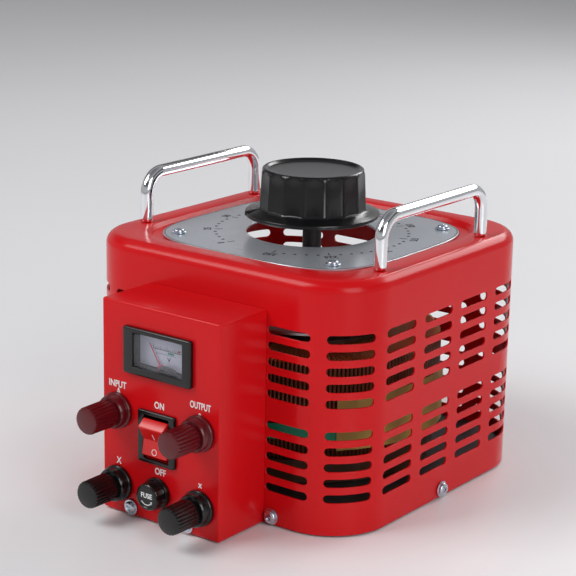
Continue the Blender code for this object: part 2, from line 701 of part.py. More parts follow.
def binding_posts():
    looks = {"top": RED_PLASTIC, "bottom": BLACK_PLASTIC}
    heights = {"bottom": POST_Z[0], "top": POST_Z[1]}
    columns = {"input": POST_X[0], "output": POST_X[1]}
    bore = POST_STUD + GAP / MM
    seat = GAP / MM
    top = POST_COLLAR_TOP
    end = POST_LENGTH / MM
    collar = in_mm([(bore, -6), (5.1, -6), (5.1, seat), (10.7, seat), (10.7, 2.9),
                    (9.4, 3.9), (9.8, 4.6), (9.8, 6.8), (9, top), (bore, top)])
    cap = in_mm([(0, 21), (bore, 21), (bore, top + seat), (7.5, top + seat), (7.5, 9.8), (8.3, 9.8),
                 (8.1, end - 1.5), (7.7, end - 0.5), (6.8, end), (0, end)])
    rod = in_mm([(0, -14), (POST_STUD, -14), (POST_STUD, 17), (0, 17)])
    for side, x in columns.items():
        for row, z in heights.items():
            name = "post_" + side + "_" + row
            on_panel(name + "_collar", turned(collar, 16), looks[row], x, z)
            on_panel(name + "_stud", turned(rod, 8), BRASS, x, z)
            on_panel(name + "_cap", turned(cap, 16), looks[row], x, z)


def fuse():
    seat = GAP / MM
    holder = in_mm([(3.6, -26), (6.1, -26), (6.1, seat), (9.35, seat),
                    (9.35, FUSE_BASE - 0.8), (8.9, FUSE_BASE), (3.6, FUSE_BASE)])
    on_panel("fuse_holder", turned(holder, 16), BLACK_PLASTIC, FUSE_X, FUSE_Z)
    cap = in_mm([(0, -3), (3.2, -3), (3.2, FUSE_BASE + seat), (8.8, FUSE_BASE + seat),
                 (7.9, FUSE_END - 0.9), (7, FUSE_END), (0, FUSE_END)])
    on_panel("fuse_cap", turned(cap, 16), BLACK_PLASTIC, FUSE_X, FUSE_Z)
    link = in_mm([(0, -24), (2.6, -24), (2.6, -3 - seat), (0, -3 - seat)])
    on_panel("fuse_link", turned(link, 12), GLASS, FUSE_X, FUSE_Z)


# ---- inside ------------------------------------------------------------------------------------

def ring_profile(inner, outer, low, high):
    return [(inner, low), (outer, low), (outer, high), (inner, high)]


def transformer():
    support = ring_profile(46 * MM, 78 * MM, TRAY_TOP + GAP, WINDING_BOTTOM - GAP)
    piece("core_support", turned(support, 24), BAKELITE)
    wall = WINDING_WALL + RING_CLEAR
    core = ring_profile(WINDING_INNER + wall, WINDING_OUTER - wall, WINDING_BOTTOM + wall, WINDING_TOP - wall)
    piece("toroid_core", turned(core, 32), CORE_GREY)
    shell = ring_profile(WINDING_INNER, WINDING_OUTER, WINDING_BOTTOM, WINDING_TOP)
    hollow = ring_profile(WINDING_INNER + WINDING_WALL, WINDING_OUTER - WINDING_WALL,
                          WINDING_BOTTOM + WINDING_WALL, WINDING_TOP - WINDING_WALL)
    start = GAP_ANGLE + (360 - WINDING_SPAN) / 2
    end = start + WINDING_SPAN
    bm = bmesh.new()
    ends = []
    for profile in (shell, hollow):
        loops = [[bm.verts.new(point) for point in ring] for ring in ring_sector(profile, start, end, 30)]
        for one, other in zip(loops, loops[1:]):
            for step in range(4):
                after = (step + 1) % 4
                bm.faces.new((one[step], one[after], other[after], other[step]))
        ends.append((loops[0], loops[-1]))
    for outer, inner in zip(*ends):
        for step in range(4):
            after = (step + 1) % 4
            bm.faces.new((outer[step], outer[after], inner[after], inner[step]))
    piece("toroid_winding", bm, COPPER)
    band_outer = WINDING_OUTER + RING_CLEAR + 0.6 * MM
    band = ring_profile(WINDING_OUTER + RING_CLEAR, band_outer, *BAND_Z)
    piece("winding_band", turned(band, 32), BAND_GREEN)
    sheet = ring_profile(band_outer + 0.5 * MM, band_outer + 1.1 * MM, *SHEET_Z)
    piece("insulation_sheet", stack(ring_sector(sheet, *SHEET_ANGLES, 8)), SHEET_TAN)


def centre_column():
    flange = 30 * MM
    tube = [(TUBE_BORE, TRAY_TOP + GAP), (flange, TRAY_TOP + GAP), (flange, TRAY_TOP + 3.5 * MM),
            (TUBE_OUTER, TRAY_TOP + 6 * MM), (TUBE_OUTER, TUBE_TOP), (TUBE_BORE, TUBE_TOP)]
    piece("centre_tube", turned(tube, 20), STEEL)
    clamp = ring_profile(TUBE_OUTER + GAP, CLAMP_RADIUS, *CLAMP_Z)
    plate = piece("clamp_plate", turned(clamp, 24), BAKELITE)
    pin = prism(circle(STOP_PIN, 12), CLAMP_Z[1] - 1 * MM, CLAMP_Z[1] + 4 * MM)
    place = Matrix.Rotation(math.radians(GAP_ANGLE), 4, "Z") @ Vector((STOP_RADIUS, 0, 0))
    combine(plate, cutter("stop_pin", pin, place), "UNION")
    nut = ring_prism(circle(13 * MM, 12), circle(TUBE_OUTER + GAP, 12), CLAMP_Z[1] + GAP, TUBE_TOP - GAP)
    piece("clamp_nut", nut, ZINC)


def rotor():
    shaft = [(0, SHAFT_BOTTOM), (SHAFT_RADIUS, SHAFT_BOTTOM), (SHAFT_RADIUS, SHAFT_TOP), (0, SHAFT_TOP)]
    piece("shaft", turned(shaft, 20), DARK_STEEL)
    stop_hub()
    disc = ring_profile(SHAFT_RADIUS + GAP, DISC_RADIUS, *DISC_Z)
    piece("brush_disc", turned(disc, 32), ALUMINIUM)
    brush_gear(POINTER_ANGLE)


def stop_hub():
    """Hub on the shaft, whose lug meets the stop pin at both ends of the travel."""
    pointer = math.radians(POINTER_ANGLE)
    hub_radius = 14 * MM

    def at(radius, degrees):
        angle = pointer + math.radians(degrees)
        return radius * math.cos(angle), radius * math.sin(angle)

    low = TUBE_TOP + GAP
    high = DISC_Z[0] - GAP
    ring = ring_prism(circle(hub_radius, 24, pointer), circle(SHAFT_RADIUS + GAP, 24, pointer), low, high)
    body = piece("stop_hub", ring, ALUMINIUM)
    lug = [at(STOP_RADIUS + 4 * MM, STOP_LUG * share) for share in (-1, -0.33, 0.33, 1)]
    lug += [at(hub_radius - 1 * MM, 2 * STOP_LUG * side) for side in (1, -1)]
    combine(body, cutter("stop_lug", prism(lug, low, high)), "UNION")


def brush_gear(angle):
    """Holder that reaches over the disc's rim, and the carbon that rides the winding's track."""
    spin = (0, 0, math.radians(angle))
    inner = DISC_RADIUS + 0.6 * MM
    outer = BRUSH_RADIUS + 9.4 * MM
    middle = (inner + outer) / 2
    block = rounded_rectangle(outer - inner, 14 * MM, 1 * MM, 2, (middle, 0))
    pocket = rounded_rectangle(12.6 * MM, 6.6 * MM, 0.3 * MM, 2, (middle, 0))
    holder = piece("brush_holder", ring_prism(block, pocket, WINDING_TOP + 3 * MM, DISC_Z[1] + 4 * MM),
                   BRASS, turn=spin)
    arm = rounded_rectangle(26 * MM, 10 * MM, 1 * MM, 2, (inner - 12.4 * MM, 0))
    arm_low = DISC_Z[1] + GAP
    combine(holder, cutter("brush_arm", prism(arm, arm_low, arm_low + 1.8 * MM), turn=spin), "UNION")
    carbon = rounded_rectangle(12 * MM, 6 * MM, 0.3 * MM, 2, (middle, 0))
    piece("carbon_brush", prism(carbon, WINDING_TOP + GAP, DISC_Z[1] + 3 * MM), CARBON, turn=spin)


def knob():
    """Fluted body over a conical skirt, dished on top, with a raised pointer on the skirt."""
    steps = KNOB_FLUTES * 2
    pointer = math.radians(POINTER_ANGLE)

    def level(radius, z, fluted=False):
        ring = []
        for step, (x, y) in enumerate(circle(radius, steps, pointer)):
            shrink = 1 - KNOB_FLUTE_DEPTH / radius if fluted and step % 2 else 1
            ring.append((x * shrink, y * shrink, z))
        return ring

    skirt = [level(KNOB_SKIRT - 0.6 * MM, KNOB_SKIRT_Z), level(KNOB_SKIRT, KNOB_SKIRT_Z + 0.6 * MM),
             level(KNOB_SKIRT, KNOB_SKIRT_Z + 2.2 * MM), level(KNOB_BASE + 1 * MM, KNOB_SKIRT_TOP)]
    grip = [level(KNOB_BASE, KNOB_SKIRT_TOP + 0.6 * MM, fluted=True),
            level(KNOB_TOP + 0.2 * MM, KNOB_TOP_Z - 1.6 * MM, fluted=True)]
    dish = [level(KNOB_TOP - 1.4 * MM, KNOB_TOP_Z), level(KNOB_TOP - 3.2 * MM, KNOB_TOP_Z - 0.2 * MM),
            level(KNOB_TOP - 4.2 * MM, KNOB_TOP_Z - 1.6 * MM), level(4 * MM, KNOB_TOP_Z - 1.8 * MM)]
    body = piece("knob", stack(skirt + grip + dish), BLACK_PLASTIC)
    bore = prism(circle(SHAFT_RADIUS + GAP, 20), KNOB_SKIRT_Z - 2 * MM, SHAFT_TOP + GAP)
    combine(body, cutter("knob_bore", bore))
    tip = KNOB_SKIRT + 0.9 * MM
    heel = KNOB_BASE - 3 * MM
    wedge = [(heel, -4 * MM), (tip, -0.7 * MM), (tip, 0.7 * MM), (heel, 4 * MM)]
    marker = prism(wedge, KNOB_SKIRT_Z + 0.8 * MM, KNOB_SKIRT_TOP + 0.4 * MM)
    combine(body, cutter("knob_pointer", marker, turn=(0, 0, pointer)), "UNION")


cover = case_cover()
tray = base_plate()
cover_screws(cover, tray)
dial_plate(cover)
feet()
handles()
panel_box()
voltmeter()
mains_switch()
binding_posts()
fuse()
transformer()
centre_column()
rotor()
knob()
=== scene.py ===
"""Looks of the variable autotransformer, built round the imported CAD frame.

Everything is in metres in the frame's own axes: +Z up, the terminal box towards -Y. Sizes that the
frame knows are read from it; the details that only the looks have are named below.
"""
import json
import math

import bmesh
import bpy
from mathutils import Matrix, Vector


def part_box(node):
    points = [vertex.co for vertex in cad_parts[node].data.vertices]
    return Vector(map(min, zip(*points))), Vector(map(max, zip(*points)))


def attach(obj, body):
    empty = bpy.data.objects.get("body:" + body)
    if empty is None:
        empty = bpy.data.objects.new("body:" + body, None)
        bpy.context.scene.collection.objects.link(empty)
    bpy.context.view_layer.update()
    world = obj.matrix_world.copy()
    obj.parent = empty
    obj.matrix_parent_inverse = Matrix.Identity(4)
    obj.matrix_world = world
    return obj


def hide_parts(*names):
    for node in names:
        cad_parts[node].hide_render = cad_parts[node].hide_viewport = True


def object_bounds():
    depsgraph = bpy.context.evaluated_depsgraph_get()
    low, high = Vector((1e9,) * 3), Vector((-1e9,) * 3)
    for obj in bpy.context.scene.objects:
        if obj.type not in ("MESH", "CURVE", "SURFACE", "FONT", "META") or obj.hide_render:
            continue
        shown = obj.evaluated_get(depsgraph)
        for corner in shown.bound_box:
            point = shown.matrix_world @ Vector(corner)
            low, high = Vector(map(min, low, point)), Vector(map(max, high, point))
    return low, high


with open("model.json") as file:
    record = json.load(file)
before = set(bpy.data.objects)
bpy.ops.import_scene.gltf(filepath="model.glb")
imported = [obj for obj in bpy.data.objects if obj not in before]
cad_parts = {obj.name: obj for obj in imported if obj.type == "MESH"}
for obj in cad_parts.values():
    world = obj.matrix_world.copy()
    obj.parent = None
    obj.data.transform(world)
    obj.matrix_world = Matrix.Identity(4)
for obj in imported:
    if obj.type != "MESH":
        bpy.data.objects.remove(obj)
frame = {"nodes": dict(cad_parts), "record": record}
CAD_BOUNDS = [list(corner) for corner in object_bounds()]

MM = 0.001
BODY = "base"
SEAT = 0.3 * MM                      # clearance under a part that lies on a surface
PRINT_LIFT = 0.02 * MM               # print stands this far off what it is printed on
PRINT_THICK = 0.05 * MM

cover_low, cover_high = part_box("case_cover")
CASE_WIDTH = cover_high[0] - cover_low[0]
CASE_DEPTH = cover_high[1] - cover_low[1]
CASE_HEIGHT = cover_high[2] - cover_low[2]
CENTRE = Vector(((cover_low[0] + cover_high[0]) / 2, (cover_low[1] + cover_high[1]) / 2, cover_low[2]))
PANEL_FRONT_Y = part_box("panel_box")[0][1]

# Case cover, as the CAD cover has it.
CASE_CORNER = 37.6 * MM
SHEET = 1.2 * MM
TOP_FILLET = 7 * MM
COLUMNS_ROUND = 19
COLUMNS_EACH_SIDE = 8
SLOT_LENGTH = 29 * MM
SLOT_HEIGHT = 5 * MM
ROW_TOP = 116.05 * MM
ROW_PITCH = 9.38 * MM
ROWS = 11
BLANK_ROW = 5
RECESS_DEPTH = 2.8 * MM
RECESS_HALF = 81 * MM
RECESS_BOW = 5
PLATE_BOW = 3.8
HOLE_RADIUS = 40 * MM

# The dial's scale, clockwise from zero.
DIAL_ZERO = 249
DIAL_SPAN = 325
POINTER_ANGLE = 229
DOT_RADIUS = 59 * MM
NUMBER_RADIUS = 63.5 * MM

FACE_FRONT = Matrix.Rotation(math.pi / 2, 4, "X")
FACING = {
    "front": FACE_FRONT,
    "rear": Matrix.Rotation(math.pi, 4, "Z") @ FACE_FRONT,
    "right": Matrix.Rotation(math.pi / 2, 4, "Z") @ FACE_FRONT,
    "left": Matrix.Rotation(-math.pi / 2, 4, "Z") @ FACE_FRONT,
    "up": Matrix.Identity(4),
}


# ---- camera, light and floor -------------------------------------------------------------------

def camera():
    """The photograph's viewpoint: a long lens, a little above the object and to its right."""
    azimuth = math.radians(36.27)
    elevation = math.radians(16.12)
    target = CENTRE + Vector((0, 0, 100 * MM))
    back = Vector((math.sin(azimuth) * math.cos(elevation), -math.cos(azimuth) * math.cos(elevation),
                   math.sin(elevation)))
    place = target + back * 1142.2 * MM
    ahead = -back
    right = ahead.cross(Vector((0, 0, 1))).normalized()
    up = right.cross(ahead)
    ahead = (ahead + math.tan(math.radians(-0.70)) * right + math.tan(math.radians(0.53)) * up).normalized()
    right = ahead.cross(Vector((0, 0, 1))).normalized()
    up = right.cross(ahead)
    roll = math.radians(1.12)
    across = math.cos(roll) * right + math.sin(roll) * up
    above = -math.sin(roll) * right + math.cos(roll) * up
    data = bpy.data.cameras.new("camera")
    data.sensor_fit = "HORIZONTAL"
    data.sensor_width = 36
    data.lens = 115.77
    data.clip_start = 0.05
    seen = bpy.data.objects.new("camera", data)
    turn = Matrix((across, above, -ahead)).transposed().to_4x4()
    seen.matrix_world = Matrix.Translation(place) @ turn
    bpy.context.scene.collection.objects.link(seen)
    bpy.context.scene.camera = seen


def area_light(name, place, size, power, colour=(1, 1, 1)):
    data = bpy.data.lights.new(name, "AREA")
    data.shape = "RECTANGLE"
    data.size, data.size_y = size
    data.energy = power
    data.color = colour
    lamp = bpy.data.objects.new(name, data)
    lamp.location = place
    towards = Vector((0, 0, 0.08)) - Vector(place)
    lamp.rotation_euler = towards.to_track_quat("-Z", "Y").to_euler()
    bpy.context.scene.collection.objects.link(lamp)


def studio():
    area_light("key_softbox", (-0.9, -1.1, 1.5), (1.1, 1.1), 22)
    area_light("fill_softbox", (1.6, -0.7, 0.9), (0.9, 1.2), 13)
    area_light("rim_softbox", (0.2, 1.6, 1.1), (1.6, 0.6), 16)
    world = bpy.data.worlds.new("studio")
    bpy.context.scene.world = world
    world.use_nodes = True
    nodes = world.node_tree.nodes
    links = world.node_tree.links
    nodes.clear()
    coords = nodes.new("ShaderNodeTexCoord")
    split = nodes.new("ShaderNodeSeparateXYZ")
    ramp = nodes.new("ShaderNodeValToRGB")
    back = nodes.new("ShaderNodeBackground")
    out = nodes.new("ShaderNodeOutputWorld")
    ramp.color_ramp.elements[0].position = 0.0
    ramp.color_ramp.elements[0].color = (0.80, 0.81, 0.83, 1)
    ramp.color_ramp.elements[1].position = 1.0
    ramp.color_ramp.elements[1].color = (0.30, 0.31, 0.34, 1)
    for position, grey in ((0.12, 0.86), (0.30, 0.80), (0.42, 0.20), (0.60, 0.16), (0.72, 0.75)):
        stop = ramp.color_ramp.elements.new(position)
        stop.color = (grey, grey, grey * 1.03, 1)
    links.new(coords.outputs["Generated"], split.inputs[0])
    links.new(split.outputs["Z"], ramp.inputs["Fac"])
    links.new(ramp.outputs["Color"], back.inputs["Color"])
    links.new(back.outputs["Background"], out.inputs["Surface"])
    back.inputs["Strength"].default_value = 0.5
    bm = bmesh.new()
    bmesh.ops.create_grid(bm, x_segments=1, y_segments=1, size=6)
    mesh = bpy.data.meshes.new("floor")
    bm.to_mesh(mesh)
    bm.free()
    floor = bpy.data.objects.new("floor", mesh)
    floor.location = (0, 0, CAD_BOUNDS[0][2])
    bpy.context.scene.collection.objects.link(floor)
    mesh.materials.append(surface("floor_white", (0.88, 0.88, 0.89), 0.35, bump=0.0, grain=60))


# ---- materials ---------------------------------------------------------------------------------

def surface(name, colour, roughness, metallic=0.0, grain=900, vary=0.04, rough_vary=0.05, bump=0.03,
            stretch=(1, 1, 1), coat=0.0, coat_roughness=0.05, bump_scale=0.1, specular=0.5):
    """Principled material whose colour, roughness and bump follow two layers of noise."""
    made = bpy.data.materials.new(name)
    made.use_nodes = True
    nodes = made.node_tree.nodes
    links = made.node_tree.links
    shader = nodes["Principled BSDF"]
    shader.inputs["Metallic"].default_value = metallic
    shader.inputs["Specular IOR Level"].default_value = specular
    shader.inputs["Coat Weight"].default_value = coat
    shader.inputs["Coat Roughness"].default_value = coat_roughness
    coords = nodes.new("ShaderNodeTexCoord")
    mapping = nodes.new("ShaderNodeMapping")
    mapping.inputs["Scale"].default_value = stretch
    links.new(coords.outputs["Object"], mapping.inputs["Vector"])
    fine = nodes.new("ShaderNodeTexNoise")
    fine.inputs["Scale"].default_value = grain
    fine.inputs["Detail"].default_value = 4
    broad = nodes.new("ShaderNodeTexNoise")
    broad.inputs["Scale"].default_value = grain / 25
    broad.inputs["Detail"].default_value = 3
    for noise in (fine, broad):
        links.new(mapping.outputs["Vector"], noise.inputs["Vector"])
    tone = nodes.new("ShaderNodeMapRange")
    tone.inputs["To Min"].default_value = 1 - vary
    tone.inputs["To Max"].default_value = 1 + vary
    links.new(broad.outputs["Fac"], tone.inputs["Value"])
    tint = nodes.new("ShaderNodeVectorMath")
    tint.operation = "SCALE"
    tint.inputs[0].default_value = colour
    links.new(tone.outputs["Result"], tint.inputs["Scale"])
    links.new(tint.outputs["Vector"], shader.inputs["Base Color"])
    rough = nodes.new("ShaderNodeMapRange")
    rough.inputs["To Min"].default_value = max(roughness - rough_vary, 0.02)
    rough.inputs["To Max"].default_value = roughness + rough_vary
    links.new(fine.outputs["Fac"], rough.inputs["Value"])
    links.new(rough.outputs["Result"], shader.inputs["Roughness"])
    if bump:
        relief = nodes.new("ShaderNodeBump")
        relief.inputs["Strength"].default_value = bump
        relief.inputs["Distance"].default_value = bump_scale * MM
        links.new(fine.outputs["Fac"], relief.inputs["Height"])
        links.new(relief.outputs["Normal"], shader.inputs["Normal"])
    return made


def clear_material(name, colour, roughness, alpha):
    made = surface(name, colour, roughness, bump=0.0, rough_vary=0.01, grain=300)
    shader = made.node_tree.nodes["Principled BSDF"]
    shader.inputs["Alpha"].default_value = alpha
    shader.inputs["Specular IOR Level"].default_value = 0.8
    made.surface_render_method = "BLENDED"
    return made


def winding_material():
    """Varnished wire that is bare, bright copper on the flat track where the brush runs."""
    made = surface("copper_wire", (0.17, 0.045, 0.018), 0.30, 0.55, grain=700, vary=0.35, bump=0.1)
    nodes = made.node_tree.nodes
    links = made.node_tree.links
    shader = nodes["Principled BSDF"]
    coords = nodes.new("ShaderNodeTexCoord")
    split = nodes.new("ShaderNodeSeparateXYZ")
    track = nodes.new("ShaderNodeMapRange")
    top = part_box("toroid_winding")[1][2]
    track.inputs["From Min"].default_value = top - 2.2 * MM
    track.inputs["From Max"].default_value = top - 0.9 * MM
    mix = nodes.new("ShaderNodeMix")
    mix.data_type = "RGBA"
    old = shader.inputs["Base Color"].links[0].from_socket
    links.new(coords.outputs["Object"], split.inputs[0])
    links.new(split.outputs["Z"], track.inputs["Value"])
    links.new(track.outputs["Result"], mix.inputs["Factor"])
    links.new(old, mix.inputs["A"])
    mix.inputs["B"].default_value = (0.86, 0.34, 0.12, 1)
    links.new(mix.outputs["Result"], shader.inputs["Base Color"])
    return made


LOOKS = {
    "red_enamel": surface("red_enamel", (0.62, 0.005, 0.008), 0.22, grain=500, vary=0.03, rough_vary=0.03,
                          bump=0.05, specular=0.22),
    "chrome": surface("chrome", (0.86, 0.87, 0.89), 0.06, 1.0, grain=600, vary=0.02, rough_vary=0.02,
                      bump=0.01),
    "zinc": surface("zinc", (0.60, 0.66, 0.74), 0.25, 1.0, grain=1500, vary=0.12, rough_vary=0.08, bump=0.12),
    "dial_silver": surface("dial_silver", (0.62, 0.66, 0.71), 0.30, 0.75, grain=1600, vary=0.03,
                           rough_vary=0.06, bump=0.03, stretch=(0.04, 1, 1)),
    "black_plastic": surface("black_plastic", (0.004, 0.004, 0.0045), 0.20, grain=900, vary=0.2,
                             rough_vary=0.06, bump=0.04),
    "red_plastic": surface("red_plastic", (0.10, 0.003, 0.006), 0.24, grain=900, vary=0.1, rough_vary=0.06,
                           bump=0.04),
    "rocker_red": surface("rocker_red", (0.70, 0.008, 0.008), 0.22, grain=700, vary=0.05, bump=0.03),
    "clear_window": clear_material("clear_window", (0.9, 0.92, 0.95), 0.04, 0.05),
    "meter_card": surface("meter_card", (0.58, 0.58, 0.72), 0.55, grain=2500, vary=0.03, bump=0.05),
    "needle_red": surface("needle_red", (0.50, 0.10, 0.16), 0.45, grain=2000),
    "rubber": surface("rubber", (0.018, 0.018, 0.018), 0.75, grain=1800, vary=0.2, bump=0.3),
    "steel": surface("steel", (0.42, 0.43, 0.45), 0.35, 1.0, grain=1200, bump=0.1, stretch=(1, 1, 0.1)),
    "dark_steel": surface("dark_steel", (0.05, 0.05, 0.055), 0.42, 0.5, grain=900, vary=0.15, bump=0.15),
    "core_steel": surface("core_steel", (0.13, 0.13, 0.15), 0.5, 0.7, grain=900, bump=0.2,
                          stretch=(1, 1, 0.05)),
    "copper_winding": winding_material(),
    "band_green": surface("band_green", (0.01, 0.30, 0.16), 0.45, grain=1500, vary=0.2, bump=0.4),
    "insulation_tan": surface("insulation_tan", (0.55, 0.36, 0.08), 0.5, grain=500, vary=0.2, bump=0.2),
    "bakelite": surface("bakelite", (0.07, 0.03, 0.015), 0.38, grain=600, vary=0.3, bump=0.1),
    "aluminium": surface("aluminium", (0.70, 0.71, 0.73), 0.30, 1.0, grain=1500, vary=0.06, bump=0.1,
                         stretch=(1, 0.08, 1)),
    "brass": surface("brass", (0.66, 0.46, 0.15), 0.25, 1.0, grain=1200, vary=0.1, bump=0.08),
    "carbon": surface("carbon", (0.02, 0.02, 0.022), 0.6, 0.1, grain=2500, vary=0.3, bump=0.3),
    "print_white": surface("print_white", (0.82, 0.82, 0.82), 0.4, grain=2000, vary=0.02, bump=0.02),
    "print_black": surface("print_black", (0.008, 0.008, 0.01), 0.4, grain=2000, vary=0.1, bump=0.02),
    "print_green": surface("print_green", (0.02, 0.25, 0.16), 0.4, grain=2000, vary=0.1, bump=0.02),
    "print_red": surface("print_red", (0.45, 0.03, 0.05), 0.4, grain=2000, vary=0.1, bump=0.02),
}


# ---- building blocks ---------------------------------------------------------------------------

def circle(radius, steps, start=0.0):
    angles = [start + 2 * math.pi * step / steps for step in range(steps)]
    return [(radius * math.cos(angle), radius * math.sin(angle)) for angle in angles]


def rounded_rectangle(width, height, radius, steps=6, centre=(0, 0)):
    outline = []
    for quarter in range(4):
        side_x = 1 if quarter in (0, 3) else -1
        side_y = 1 if quarter in (0, 1) else -1
        for step in range(steps + 1):
            angle = math.pi / 2 * (quarter + step / steps)
            x = centre[0] + side_x * (width / 2 - radius) + radius * math.cos(angle)
            y = centre[1] + side_y * (height / 2 - radius) + radius * math.sin(angle)
            outline.append((x, y))
    return outline


def bowed_square(half, bow, x, y):
    """Point of a square with bowed sides (a superellipse) in the direction of (x, y)."""
    share = half / (abs(x) ** bow + abs(y) ** bow) ** (1 / bow)
    return x * share, y * share


def bowed_outline(half, bow, steps):
    return [bowed_square(half, bow, x, y) for x, y in circle(1, steps)]


def bridge(bm, loops, close=False):
    pairs = list(zip(loops, loops[1:]))
    if close:
        pairs.append((loops[-1], loops[0]))
    for lower, upper in pairs:
        for step in range(len(lower)):
            after = (step + 1) % len(lower)
            bm.faces.new((lower[step], lower[after], upper[after], upper[step]))


def stack(rings, ends="cap", bm=None):
    """Solid through equal rings of points. ends: cap both, or join the last ring to the first."""
    bm = bm or bmesh.new()
    loops = [[bm.verts.new(point) for point in ring] for ring in rings]
    if ends == "cap":
        bm.faces.new(loops[0])
        bm.faces.new(loops[-1])
    bridge(bm, loops, close=ends == "join")
    return bm


def prism(outline, low, high, bm=None):
    return stack([[(x, y, z) for x, y in outline] for z in (low, high)], bm=bm)


def turned(profile, steps=64):
    """Solid of revolution about Z; a profile that starts off the axis is closed on itself."""
    bm = bmesh.new()
    points = [bm.verts.new((radius, 0, z)) for radius, z in profile]
    edges = [bm.edges.new(pair) for pair in zip(points, points[1:])]
    if profile[0][0] > 0:
        edges.append(bm.edges.new((points[-1], points[0])))
    bmesh.ops.spin(bm, geom=points + edges, cent=(0, 0, 0), axis=(0, 0, 1),
                   angle=2 * math.pi, steps=steps, use_merge=True)
    bmesh.ops.remove_doubles(bm, verts=bm.verts, dist=1e-7)
    return bm


def fluted(profile, count, depth, per_flute=8):
    """Turned solid whose radius dips between ridges. Profile points are (radius, z, share of depth)."""
    steps = count * per_flute
    rings = []
    for radius, z, share in profile:
        ring = []
        for step, (x, y) in enumerate(circle(1, steps)):
            phase = (step % per_flute) / per_flute
            dip = math.sin(math.pi * phase) ** 0.7 * depth * share
            ring.append((x * (radius - dip), y * (radius - dip), z))
        rings.append(ring)
    return stack(rings)


def show(name, bm, look, place=Matrix.Identity(4), sharp=32, bevel=0.0):
    """A visible piece from a bmesh."""
    bmesh.ops.recalc_face_normals(bm, faces=bm.faces)
    mesh = bpy.data.meshes.new(name)
    bm.to_mesh(mesh)
    bm.free()
    mesh.shade_smooth()
    mesh.set_sharp_from_angle(angle=math.radians(sharp))
    obj = bpy.data.objects.new(name, mesh)
    obj.matrix_world = place
    mesh.materials.append(LOOKS[look])
    bpy.context.scene.collection.objects.link(obj)
    if bevel:
        soften = obj.modifiers.new("soft_edges", "BEVEL")
        soften.width = bevel
        soften.segments = 2
        soften.limit_method = "ANGLE"
        soften.angle_limit = math.radians(40)
        soften.harden_normals = True
    return obj


def carve(target, bm, operation="DIFFERENCE"):
    """Cuts or joins a bmesh, given in the target's own axes, and keeps the result."""
    tool = show("tool", bm, "steel", target.matrix_world)
    change = target.modifiers.new("carve", "BOOLEAN")
    change.object = tool
    change.operation = operation
    change.solver = "EXACT"
    graph = bpy.context.evaluated_depsgraph_get()
    graph.update()
    made = bpy.data.meshes.new_from_object(target.evaluated_get(graph))
    target.modifiers.clear()
    target.data = made
    bpy.data.objects.remove(tool)


def stands_for(obj, slot, *nodes, body=BODY):
    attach(obj, body)
    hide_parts(*nodes)
    return obj


def extra(obj, body=BODY):
    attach(obj, body)
    return obj


def node_centre(node):
    low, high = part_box(node)
    return Vector([(a + b) / 2 for a, b in zip(low, high)])


def on_panel(x, z, out=0.0):
    """Frame whose local Z points out of the panel, with its origin on the panel's face."""
    return Matrix.Translation((x, PANEL_FRONT_Y - out, z)) @ FACE_FRONT


def lettering(name, words, look, place, height, body=BODY, thick=0.06 * MM, bold=0.0, narrow=1.0):
    """Printed words as a thin solid. words: (text, x, y, turn) in the plane of place."""
    graph = bpy.context.evaluated_depsgraph_get
    whole = bmesh.new()
    for text, x, y, turn in words:
        curve = bpy.data.curves.new("words", "FONT")
        curve.body = text
        curve.size = height / 0.70
        curve.align_x = "CENTER"
        curve.align_y = "CENTER"
        curve.extrude = thick / 2
        curve.offset = bold
        obj = bpy.data.objects.new("words", curve)
        bpy.context.scene.collection.objects.link(obj)
        spot = Matrix.Translation((x, y, thick / 2)) @ Matrix.Rotation(turn, 4, "Z")
        mesh = bpy.data.meshes.new_from_object(obj.evaluated_get(graph()))
        mesh.transform(spot @ Matrix.Diagonal((narrow, 1, 1, 1)))
        whole.from_mesh(mesh)
        bpy.data.objects.remove(obj)
        bpy.data.meshes.remove(mesh)
    return extra(show(name, whole, look, place), body)


# ---- case cover --------------------------------------------------------------------------------

HALF_REAR = CASE_WIDTH / 2 - CASE_CORNER
CORNER_ARC = CASE_CORNER * math.pi / 2
SIDE_RUN = CASE_DEPTH - 2 * CASE_CORNER
PERIMETER = 4 * HALF_REAR + 4 * CORNER_ARC + 2 * SIDE_RUN
COLUMN_PITCH = PERIMETER / COLUMNS_ROUND


def wall_point(distance, inset=0.0):
    """Point of the wall at a distance along it from the middle of the rear, towards +X."""
    side = 1 if distance >= 0 else -1
    run = abs(distance)
    radius = CASE_CORNER - inset
    if run <= HALF_REAR:
        return side * run, SIDE_RUN / 2 + radius
    run -= HALF_REAR
    if run <= CORNER_ARC:
        angle = run / CASE_CORNER
        return side * (HALF_REAR + radius * math.sin(angle)), SIDE_RUN / 2 + radius * math.cos(angle)
    run -= CORNER_ARC
    if run <= SIDE_RUN:
        return side * (HALF_REAR + radius), SIDE_RUN / 2 - run
    run -= SIDE_RUN
    if run <= CORNER_ARC:
        angle = run / CASE_CORNER
        return side * (HALF_REAR + radius * math.cos(angle)), -SIDE_RUN / 2 - radius * math.sin(angle)
    run -= CORNER_ARC
    return side * (HALF_REAR - run), -SIDE_RUN / 2 - radius


